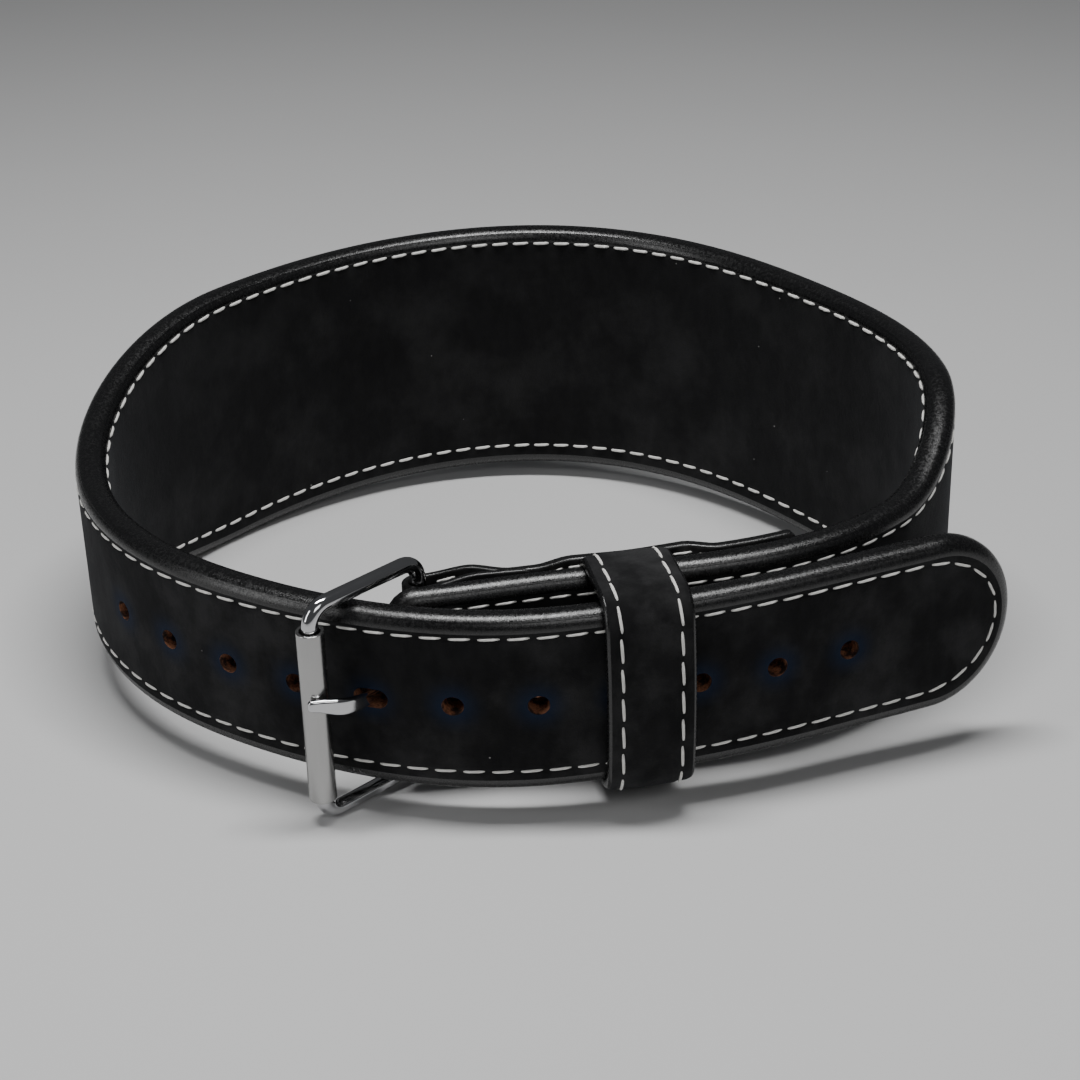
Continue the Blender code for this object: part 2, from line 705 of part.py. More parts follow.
def main():
    for item in list(bpy.data.objects):
        bpy.data.objects.remove(item)
    strap = strap_path()
    buckle = Buckle(strap)
    outer, core, inner = build_strap(strap)
    strip = build_strip(strap, buckle)
    keeper = build_keeper(strap)
    frame = build_frame(buckle)
    roller = build_roller(buckle)
    prong = build_prong(strap, buckle)
    dress(outer, (0.012, 0.012, 0.013), 0.9)
    dress(core, (0.20, 0.09, 0.045), 0.75)
    dress(inner, (0.012, 0.012, 0.013), 0.9)
    dress(strip, (0.014, 0.014, 0.015), 0.85)
    dress(keeper, (0.012, 0.012, 0.013), 0.9)
    dress(frame, (0.62, 0.62, 0.63), 0.12, 1.0)
    dress(roller, (0.62, 0.61, 0.60), 0.3, 1.0)
    dress(prong, (0.62, 0.62, 0.63), 0.15, 1.0)
    leather = [(piece, LEATHER_DENSITY) for piece in (outer, core, inner, strip, keeper)]
    steel = [(piece, STEEL_DENSITY) for piece in (frame, roller, prong)]
    stand(leather + steel)


main()
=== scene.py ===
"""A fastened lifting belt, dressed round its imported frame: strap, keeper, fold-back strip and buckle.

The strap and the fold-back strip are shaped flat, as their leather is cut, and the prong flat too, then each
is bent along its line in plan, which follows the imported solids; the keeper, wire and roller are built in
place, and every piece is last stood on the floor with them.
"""
import logging
import math
from dataclasses import dataclass, field
from enum import Enum
from typing import Callable

import bpy
import numpy as np
from mathutils import Matrix, Vector


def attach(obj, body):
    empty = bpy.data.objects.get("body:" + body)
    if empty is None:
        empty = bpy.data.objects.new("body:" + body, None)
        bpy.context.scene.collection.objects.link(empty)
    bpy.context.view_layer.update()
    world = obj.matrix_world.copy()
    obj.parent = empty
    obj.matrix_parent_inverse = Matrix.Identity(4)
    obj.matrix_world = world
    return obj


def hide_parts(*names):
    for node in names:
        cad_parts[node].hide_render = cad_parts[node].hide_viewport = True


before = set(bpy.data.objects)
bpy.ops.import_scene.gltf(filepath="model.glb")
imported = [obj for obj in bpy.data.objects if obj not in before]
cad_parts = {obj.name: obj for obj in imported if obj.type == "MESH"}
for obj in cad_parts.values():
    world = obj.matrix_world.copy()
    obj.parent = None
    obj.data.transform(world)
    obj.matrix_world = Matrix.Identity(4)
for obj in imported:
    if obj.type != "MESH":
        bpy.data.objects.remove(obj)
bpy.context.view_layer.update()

LOG = logging.getLogger("belt")
MM = 0.001
MERGE = 1e-6
FLOOR_SIZE = 9.0
ACROSS_LEATHER = (math.pi / 2, 0, 0)
CURVE_STEPS = 14


class Side(Enum):
    """The two faces of a leather piece."""

    OUTER = 1
    INNER = -1


def ease(table: tuple, value: float | np.ndarray) -> np.ndarray:
    """Read a two-column table with a smooth step between its rows.

    Args:
        table: rows of place and level.
        value: places to read the table at.

    Returns:
        The levels there.
    """
    at, level = (np.array(column, float) for column in zip(*table))
    value = np.clip(value, at[0], at[-1])
    row = np.clip(np.searchsorted(at, value, side="right") - 1, 0, len(at) - 2)
    part = (value - at[row]) / (at[row + 1] - at[row])
    return level[row] + (level[row + 1] - level[row]) * part * part * (3 - 2 * part)


def distances(points: np.ndarray) -> np.ndarray:
    """How far along a line each of its points is."""
    return np.concatenate([[0], np.cumsum(np.linalg.norm(np.diff(points, axis=0), axis=1))])


class PlanPath:
    """A line in plan that a flat piece is bent along, with a station for each of its points."""

    def __init__(self, points: np.ndarray | list) -> None:
        """Measure the line and its directions."""
        self.points = np.array(points, float)
        self.stations = distances(self.points)
        tangent = np.gradient(self.points, self.stations, axis=0)
        self.tangent = tangent / np.linalg.norm(tangent, axis=1)[:, None]
        self.outward = np.stack([-self.tangent[:, 1], self.tangent[:, 0]], -1)

    def read(self, values: np.ndarray, station: float | np.ndarray) -> np.ndarray:
        """Values of the line's points, read at stations between them."""
        return np.stack([np.interp(station, self.stations, values[:, i]) for i in (0, 1)], -1)

    def at(self, station: float | np.ndarray, offset: float | np.ndarray = 0.0) -> np.ndarray:
        """The place at a station, moved outwards by an offset."""
        return self.read(self.points, station) + self.read(self.outward, station) * np.expand_dims(offset, -1)

    def level_outward(self, station: np.ndarray) -> np.ndarray:
        """The outward direction at stations, with a height of nothing."""
        plan = self.read(self.outward, station)
        return np.column_stack([plan, np.zeros(len(plan))])

    @property
    def end(self) -> float:
        """The last station."""
        return float(self.stations[-1])


@dataclass(frozen=True)
class Stance:
    """How the fastened belt leans on the floor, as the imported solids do."""

    up: tuple[float, float, float] = (0.01925, 0.05929, 0.99805)
    shift: tuple[float, float, float] = (-0.00340, 0.01345, 0.04965)

    def matrix(self) -> Matrix:
        """The turn and shift from the strap's own frame to the floor's."""
        turn = Vector(self.up).rotation_difference(Vector((0, 0, 1))).to_matrix().to_4x4()
        return Matrix.Translation(self.shift) @ turn

    def place(self, points: np.ndarray) -> np.ndarray:
        """Points of the strap's frame in the floor's frame."""
        matrix = np.array(self.matrix())
        return points @ matrix[:3, :3].T + matrix[:3, 3]

    def turn(self, directions: np.ndarray) -> np.ndarray:
        """Directions of the strap's frame in the floor's frame."""
        return directions @ np.array(self.matrix())[:3, :3].T


STANCE = Stance()


def deselect() -> None:
    """Leave nothing selected."""
    if bpy.context.object and bpy.context.object.mode != "OBJECT":
        bpy.ops.object.mode_set(mode="OBJECT")
    bpy.ops.object.select_all(action="DESELECT")


def select_only(piece: bpy.types.Object) -> None:
    """Select and activate one piece."""
    deselect()
    piece.select_set(True)
    bpy.context.view_layer.objects.active = piece


def rename(piece: bpy.types.Object, name: str) -> None:
    """Give a piece and its mesh a name."""
    piece.name = name
    piece.data.name = name


def joined(pieces: list[bpy.types.Object]) -> bpy.types.Object:
    """Join pieces into the first of them."""
    deselect()
    for piece in pieces:
        piece.select_set(True)
    bpy.context.view_layer.objects.active = pieces[0]
    bpy.ops.object.join()
    return bpy.context.object


def settle_transform() -> bpy.types.Object:
    """Put the active object's place and turn into its mesh, and return it."""
    bpy.ops.object.transform_apply(location=True, rotation=True, scale=True)
    return bpy.context.object


def close_shell(piece: bpy.types.Object) -> None:
    """Merge a shell's seams and turn its faces outwards."""
    select_only(piece)
    bpy.ops.object.mode_set(mode="EDIT")
    bpy.ops.mesh.select_all(action="SELECT")
    bpy.ops.mesh.remove_doubles(threshold=MERGE)
    bpy.ops.mesh.normals_make_consistent(inside=False)
    bpy.ops.object.mode_set(mode="OBJECT")


def shaped_grid(name: str, places: np.ndarray, chart: np.ndarray) -> bpy.types.Object:
    """Add a grid primitive, move its points to their places and close it to a shell.

    Args:
        name: the piece's name.
        places: rows by columns of points.
        chart: rows by columns of UV coordinates, in metres along and across the leather.

    Returns:
        The closed piece.
    """
    rows, columns = places.shape[:2]
    deselect()
    bpy.ops.mesh.primitive_grid_add(x_subdivisions=columns - 1, y_subdivisions=rows - 1, size=1)
    piece = bpy.context.object
    rename(piece, name)
    piece.data.vertices.foreach_set("co", np.ascontiguousarray(places, np.float32).ravel())
    corner = read_all(piece.data.loops, "vertex_index", 1, np.int32)[:, 0]
    flat_chart = chart.reshape(-1, 2)[corner].astype(np.float32)
    piece.data.uv_layers[0].data.foreach_set("uv", flat_chart.ravel())
    close_shell(piece)
    return piece


def read_all(parts: bpy.types.bpy_prop_collection, what: str, width: int,
             kind: type = np.float32) -> np.ndarray:
    """Read one property of all of a mesh's parts.

    Args:
        parts: its points, loops, faces or chart.
        what: the property.
        width: how many numbers it has.
        kind: their type.

    Returns:
        A row for each part.
    """
    values = np.zeros(len(parts) * width, kind)
    parts.foreach_get(what, values)
    return values.reshape(-1, width)


def points_of(piece: bpy.types.Object) -> np.ndarray:
    """A piece's points."""
    return read_all(piece.data.vertices, "co", 3).astype(float)


def dress_with(piece: bpy.types.Object, *finishes: bpy.types.Material) -> None:
    """Give a piece its finishes and no others."""
    piece.data.materials.clear()
    for finish in finishes:
        piece.data.materials.append(finish)


def move_points(piece: bpy.types.Object, points: np.ndarray) -> None:
    """Put a piece's points in new places."""
    piece.data.vertices.foreach_set("co", np.ascontiguousarray(points, np.float32).ravel())
    piece.data.update()


def smooth(piece: bpy.types.Object, degrees: float = 42) -> None:
    """Shade a piece smooth, with creases kept where it turns by more than some degrees."""
    select_only(piece)
    bpy.ops.object.shade_smooth_by_angle(angle=math.radians(degrees))


def stops(first: float, last: float, step: float) -> np.ndarray:
    """Evenly spaced stations from first to last, no further apart than a step."""
    return np.linspace(first, last, math.ceil((last - first) / step) + 1)


def subtract(piece: bpy.types.Object, cutters: list[bpy.types.Object]) -> None:
    """Join the cutters and cut them out of a piece.

    Args:
        piece: the piece.
        cutters: closed shapes, which are used up.
    """
    cutter = joined(cutters)
    select_only(piece)
    modifier = piece.modifiers.new("Cut", "BOOLEAN")
    modifier.operation = "DIFFERENCE"
    modifier.solver = "MANIFOLD"
    modifier.object = cutter
    bpy.ops.object.modifier_apply(modifier=modifier.name)
    bpy.data.objects.remove(cutter)


def stretched_cutter(station: float, stretch: float) -> bpy.types.Object:
    """Lengthen the round cutter just added, along the leather about its station.

    Args:
        station: where the cutter's middle is.
        stretch: how far each of its halves moves away from it.

    Returns:
        The cutter.
    """
    cutter = settle_transform()
    points = points_of(cutter)
    points[:, 0] += np.sign(np.round(points[:, 0] - station, 6)) * stretch
    move_points(cutter, points)
    return cutter


@dataclass
class Cut:
    """The outline a flat piece is cut to, along its middle line, with elliptical corners."""

    first: float
    last: float
    half: Callable[[np.ndarray], np.ndarray]
    first_corner: tuple[float, float]
    last_corner: tuple[float, float]
    between: np.ndarray
    first_steps: int = 8
    last_steps: int = 8
    tightest: float = 0.4 * MM

    def at_inset(self, inset: float) -> tuple[np.ndarray, np.ndarray]:
        """Draw the outline in from its edge, all round.

        Args:
            inset: how far in.

        Returns:
            The stations, and the half widths at them.
        """
        length, height = self.first_corner
        widest = float(self.half(self.first + length))
        height = min(height, widest)
        turn = np.radians(np.linspace(2 if height == widest else 0, 90, self.first_steps))
        long, high = max(length - inset, self.tightest), max(height - inset, self.tightest)
        start = self.first + inset + long * (1 - np.cos(turn))
        start_half = widest - inset - high * (1 - np.sin(turn))
        end_length, end_height = self.last_corner
        run = self.between[(self.between > self.first + length + MM)
                           & (self.between < self.last - end_length - MM)]
        turn = np.radians(np.linspace(90, 0, self.last_steps))
        long, high = max(end_length - inset, self.tightest), max(end_height - inset, self.tightest)
        end = self.last - inset - long * (1 - np.cos(turn))
        end_half = float(self.half(self.last - end_length)) - inset - high * (1 - np.sin(turn))
        return (np.concatenate([start, run, end]),
                np.concatenate([start_half, self.half(run) - inset, end_half]))


@dataclass
class Level:
    """One line round a flat piece, from the middle of its outer face to the middle of its inner one."""

    depth: Callable[[np.ndarray], np.ndarray]
    inset: float
    across: float
    share: float = 1.0


def shell(name: str, cut: Cut, levels: list[Level]) -> bpy.types.Object:
    """A closed flat piece: stations on X, depth on Y and heights on Z.

    Args:
        name: the piece's name.
        cut: its outline.
        levels: its lines from face to face.

    Returns:
        The flat piece.
    """
    places, chart = [], []
    for level in levels:
        stations, halves = cut.at_inset(level.inset)
        depths = level.depth(stations)
        halves = halves * level.share
        top = np.stack([stations, depths, halves], -1)
        bottom = np.stack([stations, depths, -halves], -1)[::-1]
        places.append(np.concatenate([top, bottom, top[:1]]))
        along = places[-1][:, 0]
        chart.append(np.stack([along, np.full_like(along, level.across)], -1))
    return shaped_grid(name, np.array(places), np.array(chart))


def band(name: str, middle: np.ndarray, outward: np.ndarray, across: np.ndarray,
         section: np.ndarray) -> bpy.types.Object:
    """A closed band: a section carried round a closed line.

    Args:
        name: the piece's name.
        middle: the closed line.
        outward: the outward direction at each of its points.
        across: the direction across the band.
        section: points of (across, outward) round the section.

    Returns:
        The closed band.
    """
    middle = np.concatenate([middle, middle[:1]])
    outward = np.concatenate([outward, outward[:1]])
    section = np.concatenate([section, section[:1]])
    run, girth = distances(middle), distances(section)
    places = (middle[None] + outward[None] * section[:, None, 1:2]
              + across[None, None] * section[:, None, 0:1])
    chart = np.stack(np.broadcast_arrays(run[None], girth[:, None]), -1)
    return shaped_grid(name, places, chart)


def points_between(begin: np.ndarray, end: np.ndarray, gap: float) -> list[np.ndarray]:
    """The points between two others, about a gap apart."""
    count = max(1, round(np.linalg.norm(end - begin) / gap))
    return [begin + (end - begin) * step / count for step in range(1, count)]


def rounded_box(low: tuple, high: tuple, corner: float, steps: int, gap: float) -> tuple:
    """Points and outward normals round a rectangle with round corners, in its own plane.

    Args:
        low: the rectangle's lowest corner.
        high: its highest corner.
        corner: radius of its corners.
        steps: steps round each corner.
        gap: the longest step on its sides.

    Returns:
        The points and the normals, as arrays.
    """
    places, normals = [], []
    middle = ((low[0] + high[0]) / 2, (low[1] + high[1]) / 2)
    for cx, cy, first in ((high[0], high[1], 0), (low[0], high[1], 90), (low[0], low[1], 180),
                          (high[0], low[1], 270)):
        inner = np.array((cx - math.copysign(corner, cx - middle[0]),
                          cy - math.copysign(corner, cy - middle[1])))
        for i in range(steps + 1):
            angle = math.radians(first + 90 * i / steps)
            away = np.array((math.cos(angle), math.sin(angle)))
            place = inner + corner * away
            if places and i == 0:
                side = points_between(places[-1], place, gap)
                places += side
                normals += [away] * len(side)
            places.append(place)
            normals.append(away)
    side = points_between(places[-1], places[0], gap)
    return np.array(places + side), np.array(normals + [normals[0]] * len(side))


class Wiring:
    """A material's nodes, wired by hand."""

    def __init__(self, name: str) -> None:
        """Start from a Principled shader."""
        self.material = bpy.data.materials.new(name)
        self.material.use_nodes = True
        self.tree = self.material.node_tree
        self.shader = self.tree.nodes["Principled BSDF"]

    def feed(self, node: bpy.types.Node, inputs: dict) -> None:
        """Set or link a node's inputs."""
        for key, value in inputs.items():
            if isinstance(value, bpy.types.NodeSocket):
                self.tree.links.new(value, node.inputs[key])
            else:
                node.inputs[key].default_value = value

    def add(self, kind: str, inputs: dict | None = None, **settings: object) -> bpy.types.Node:
        """Add a node with its settings and inputs."""
        node = self.tree.nodes.new(kind)
        for key, value in settings.items():
            setattr(node, key, value)
        self.feed(node, inputs or {})
        return node

    def place(self, stretch: tuple = (1, 1, 1), chart: bool = False) -> bpy.types.NodeSocket:
        """Object or UV coordinates, stretched."""
        source = self.add("ShaderNodeTexCoord").outputs["UV" if chart else "Object"]
        return self.add("ShaderNodeMapping", {"Vector": source, "Scale": stretch}).outputs[0]

    def noise(self, place: bpy.types.NodeSocket, scale: float, detail: float = 4,
              roughness: float = 0.6) -> bpy.types.NodeSocket:
        """A noise texture's grey value."""
        return self.add("ShaderNodeTexNoise", {"Vector": place, "Scale": scale, "Detail": detail,
                                               "Roughness": roughness}).outputs[0]

    def spread(self, value: bpy.types.NodeSocket, low: float, high: float, to_low: float = 0.0,
               to_high: float = 1.0) -> bpy.types.NodeSocket:
        """Map a range of values to another, clamped."""
        return self.add("ShaderNodeMapRange", {0: value, 1: low, 2: high, 3: to_low, 4: to_high}).outputs[0]

    def times(self, a: object, b: object) -> bpy.types.NodeSocket:
        """Two values multiplied."""
        return self.add("ShaderNodeMath", {0: a, 1: b}, operation="MULTIPLY").outputs[0]

    def plus(self, a: object, b: object) -> bpy.types.NodeSocket:
        """Two values added."""
        return self.add("ShaderNodeMath", {0: a, 1: b}, operation="ADD").outputs[0]

    def mix(self, factor: object, a: object, b: object) -> bpy.types.NodeSocket:
        """A mix of two colours."""
        return self.add("ShaderNodeMix", {0: factor, 6: a, 7: b}, data_type="RGBA").outputs[2]

    def bump(self, height: bpy.types.NodeSocket, distance: float, strength: float = 1.0,
             under: bpy.types.NodeSocket | None = None) -> bpy.types.NodeSocket:
        """A bump of a height, on top of another."""
        inputs = {"Height": height, "Distance": distance, "Strength": strength}
        if under is not None:
            inputs["Normal"] = under
        return self.add("ShaderNodeBump", inputs).outputs[0]


def rgba(colour: tuple[float, float, float]) -> tuple[float, float, float, float]:
    """A colour with full opacity."""
    return (*colour, 1.0)


@dataclass(frozen=True)
class Suede:
    """Napped black leather, brushed lighter in patches, with a dark blue sheen painted into its colour round
    the holes.
    """

    name: str
    deep: tuple = (0.0026, 0.0026, 0.0029)
    brushed: tuple = (0.0180, 0.0180, 0.0186)
    # Painted sheen: a dark blue colour that stands in for the sheen round the holes.
    painted_hole_sheen: tuple = (0.0030, 0.0100, 0.0290)
    lint: tuple = (0.35, 0.35, 0.34)
    patch_scale: float = 42
    stroke_scale: float = 210
    clump_scale: float = 520
    nap_scale: float = 2300
    lint_scale: float = 170
    lint_size: float = 0.05
    lint_share: float = 0.065
    painted_sheen_strength: float = 0.85
    sheen: float = 0.06
    sheen_tint: tuple = (0.55, 0.57, 0.62)

    def make(self) -> bpy.types.Material:
        """The suede's material."""
        w = Wiring(self.name)
        place = w.place()
        patches = w.noise(place, self.patch_scale, 5, 0.62)
        strokes = w.noise(w.place((1, 1, 0.45)), self.stroke_scale, 3)
        nap = w.noise(place, self.nap_scale, 3, 0.7)
        clumps = w.noise(place, self.clump_scale, 3)
        tone = w.plus(w.spread(patches, 0.46, 0.68), w.times(w.spread(strokes, 0.4, 0.7), 0.35))
        tone = w.times(tone, w.spread(nap, 0.25, 0.75, 0.55, 1.25))
        colour = w.mix(tone, rgba(self.deep), rgba(self.brushed))
        near_hole = w.add("ShaderNodeAttribute", attribute_name="painted_hole_sheen").outputs["Fac"]
        # Painted sheen: mix the dark blue colour in round the holes, where the turned-in rims catch a sheen.
        colour = w.mix(w.times(near_hole, self.painted_sheen_strength), colour, rgba(self.painted_hole_sheen))
        specks = w.add("ShaderNodeTexVoronoi", {"Vector": place, "Scale": self.lint_scale})
        chance = w.add("ShaderNodeSeparateColor", {0: specks.outputs["Color"]}).outputs[0]
        picked = w.spread(chance, 0.995 - self.lint_share, 1 - self.lint_share)
        small = w.spread(specks.outputs["Distance"], 0.7 * self.lint_size, self.lint_size, 1, 0)
        colour = w.mix(w.times(picked, small), colour, rgba(self.lint))
        relief = w.bump(nap, 0.25 * MM, 0.55)
        relief = w.bump(clumps, 0.35 * MM, 0.45, relief)
        w.feed(w.shader, {"Base Color": colour, "Roughness": w.spread(patches, 0.3, 0.7, 0.97, 0.86),
                          "Normal": relief, "Specular IOR Level": 0.22, "Sheen Weight": self.sheen,
                          "Sheen Roughness": 0.5, "Sheen Tint": rgba(self.sheen_tint)})
        return w.material


@dataclass(frozen=True)
class PaintedEdge:
    """Black edge paint over stacked leather: a gloss broken by grain and by lines along the edge."""

    name: str
    dark: tuple = (0.0028, 0.0028, 0.0030)
    worn: tuple = (0.012, 0.012, 0.0125)
    gloss: float = 0.14
    dullest: float = 0.36
    grain_scale: float = 2400
    pore_scale: float = 950
    line_stretch: tuple = (110, 2400, 1)

    def make(self) -> bpy.types.Material:
        """The painted edge's material."""
        w = Wiring(self.name)
        place = w.place()
        grain = w.noise(place, self.grain_scale, 5, 0.8)
        pores = w.noise(place, self.pore_scale, 4, 0.75)
        lines = w.noise(w.place(self.line_stretch, chart=True), 1.0, 4, 0.75)
        wear = w.times(w.spread(grain, 0.48, 0.66), w.spread(lines, 0.42, 0.60))
        colour = w.mix(wear, rgba(self.dark), rgba(self.worn))
        relief = w.bump(lines, 0.04 * MM, 0.8)
        relief = w.bump(grain, 0.05 * MM, 1.0, relief)
        relief = w.bump(pores, 0.05 * MM, 0.8, relief)
        dullness = w.spread(pores, 0.38, 0.62, self.gloss, self.dullest)
        w.feed(w.shader, {"Base Color": colour, "Roughness": dullness, "Normal": relief,
                          "Specular IOR Level": 0.65})
        return w.material


@dataclass(frozen=True)
class RawLeather:
    """Undyed leather, cut through."""

    name: str
    light: tuple = (0.36, 0.145, 0.068)
    dark: tuple = (0.020, 0.009, 0.006)
    fibre_scale: float = 1500
    stain_scale: float = 330

    def make(self) -> bpy.types.Material:
        """The raw leather's material."""
        w = Wiring(self.name)
        place = w.place()
        fibre = w.noise(place, self.fibre_scale, 5, 0.7)
        stain = w.noise(place, self.stain_scale, 3, 0.6)
        bare = w.times(w.spread(fibre, 0.25, 0.6), w.spread(stain, 0.42, 0.56))
        colour = w.mix(bare, rgba(self.dark), rgba(self.light))
        w.feed(w.shader, {"Base Color": colour, "Roughness": w.spread(fibre, 0.2, 0.8, 0.92, 0.75),
                          "Normal": w.bump(fibre, 0.4 * MM, 0.8)})
        return w.material


@dataclass(frozen=True)
class Thread:
    """White twisted thread."""

    name: str
    light: tuple = (0.90, 0.89, 0.86)
    shade: tuple = (0.62, 0.61, 0.58)
    ply_stretch: tuple = (9, 7, 1)
    ply_scale: float = 0.32
    fuzz_scale: float = 3200

    def make(self) -> bpy.types.Material:
        """The thread's material: plies that wind round it."""
        w = Wiring(self.name)
        chart = w.place(self.ply_stretch, chart=True)
        plies = w.add("ShaderNodeTexWave", {"Vector": chart, "Scale": self.ply_scale, "Distortion": 0.4},
                      bands_direction="DIAGONAL").outputs["Fac"]
        fuzz = w.noise(w.place(), self.fuzz_scale, 2)
        lit = w.times(plies, w.spread(fuzz, 0.3, 0.7, 0.8, 1))
        w.feed(w.shader, {"Base Color": w.mix(lit, rgba(self.shade), rgba(self.light)),
                          "Roughness": w.spread(fuzz, 0.3, 0.7, 0.62, 0.8),
                          "Normal": w.bump(plies, 0.12 * MM, 0.7), "Sheen Weight": 0.15})
        return w.material


@dataclass(frozen=True)
class Metal:
    """Plated steel, polished or satin."""

    name: str
    tint: tuple = (0.62, 0.62, 0.63)
    smoothest: float = 0.05
    roughest: float = 0.15
    brushing: tuple = (1, 1, 1)
    brush_scale: float = 260
    depth: float = 0.01 * MM
    cloud_scale: float = 90

    def make(self) -> bpy.types.Material:
        """The metal's material: fine wear in its polish."""
        w = Wiring(self.name)
        smears = w.noise(w.place(self.brushing), self.brush_scale, 5, 0.65)
        clouds = w.noise(w.place(), self.cloud_scale, 3)
        dull = w.times(w.spread(smears, 0.3, 0.75), w.spread(clouds, 0.3, 0.7, 0.6, 1.1))
        shade = tuple(0.86 * part for part in self.tint)
        w.feed(w.shader, {"Base Color": w.mix(smears, rgba(self.tint), rgba(shade)), "Metallic": 1.0,
                          "Roughness": w.spread(dull, 0, 1, self.smoothest, self.roughest),
                          "Normal": w.bump(smears, self.depth, 0.4)})
        return w.material


@dataclass(frozen=True)
class PaleFloor:
    """A plain pale floor."""

    name: str
    tint: tuple = (0.58, 0.58, 0.58)
    cloud_scale: float = 3

    def make(self) -> bpy.types.Material:
        """The floor's material: hardly uneven."""
        w = Wiring(self.name)
        cloud = w.noise(w.place(), self.cloud_scale, 3)
        shade = tuple(0.95 * part for part in self.tint)
        w.feed(w.shader, {"Base Color": w.mix(cloud, rgba(self.tint), rgba(shade)), "Roughness": 0.75})
        return w.material


@dataclass
class Stitching:
    """A row of thread dashes, each a short arched length that dips into the leather at its ends."""

    pitch: float = 8.27 * MM
    dash: float = 6.9 * MM
    width: float = 0.88 * MM
    sink: float = 0.28
    dip: float = 0.55
    blunt_end: float = 0.62
    full_body: float = 0.45
    slant: float = 2.5

    def make_dash(self) -> bpy.types.Object:
        """Model one dash at the origin, along X, with its top on Z."""
        deselect()
        bpy.ops.mesh.primitive_uv_sphere_add(segments=8, ring_count=7, radius=1, rotation=(0, math.pi / 2, 0))
        dash = settle_transform()
        points = points_of(dash)
        run = np.sign(points[:, 0]) * abs(points[:, 0]) ** self.blunt_end
        around = np.linalg.norm(points[:, 1:], axis=1)
        full = np.where(around > 0, around ** self.full_body / np.maximum(around, 1e-9), 0)
        arch = self.width * (self.sink - self.dip * abs(run) ** 3)
        points = np.stack([run * self.dash / 2, points[:, 1] * full * self.width / 2,
                           points[:, 2] * full * self.width / 2 + arch], -1)
        move_points(dash, points)
        return dash

    def sew(self, name: str, places: np.ndarray, along: np.ndarray, outward: np.ndarray,
            finish: bpy.types.Material) -> bpy.types.Object:
        """Copy the dash to each place and join the copies.

        Args:
            name: the piece's name.
            places: the dashes' middles, on the leather's face.
            along: the direction of each dash.
            outward: the leather's outward direction at each dash.
            finish: the thread's material.

        Returns:
            The row of stitches.
        """
        dash = self.make_dash()
        dress_with(dash, finish)
        slant = Matrix.Rotation(math.radians(self.slant), 4, "Z")
        copies = []
        for place, run, away in zip(places, along, outward):
            x = Vector(run).normalized()
            z = Vector(away)
            z = (z - x * z.dot(x)).normalized()
            y = z.cross(x)
            matrix = Matrix((x, y, z)).transposed().to_4x4() @ slant
            matrix.translation = Vector(place)
            copy = dash.copy()
            copy.data = dash.data.copy()
            copy.data.transform(matrix)
            bpy.context.collection.objects.link(copy)
            copies.append(copy)
        bpy.data.objects.remove(dash)
        row = joined(copies)
        rename(row, name)
        smooth(row, 180)
        return row


def along_line(points: np.ndarray, pitch: float) -> np.ndarray:
    """Evenly spaced distances along a line, adjusted so that a whole number of them fits."""
    length = distances(points)[-1]
    count = max(1, round(length / pitch))
    return (np.arange(count) + 0.5) * length / count


def read_line(points: np.ndarray, distance: np.ndarray) -> np.ndarray:
    """Points of a line at distances along it."""
    run = distances(points)
    return np.stack([np.interp(distance, run, points[:, i]) for i in range(points.shape[1])], -1)


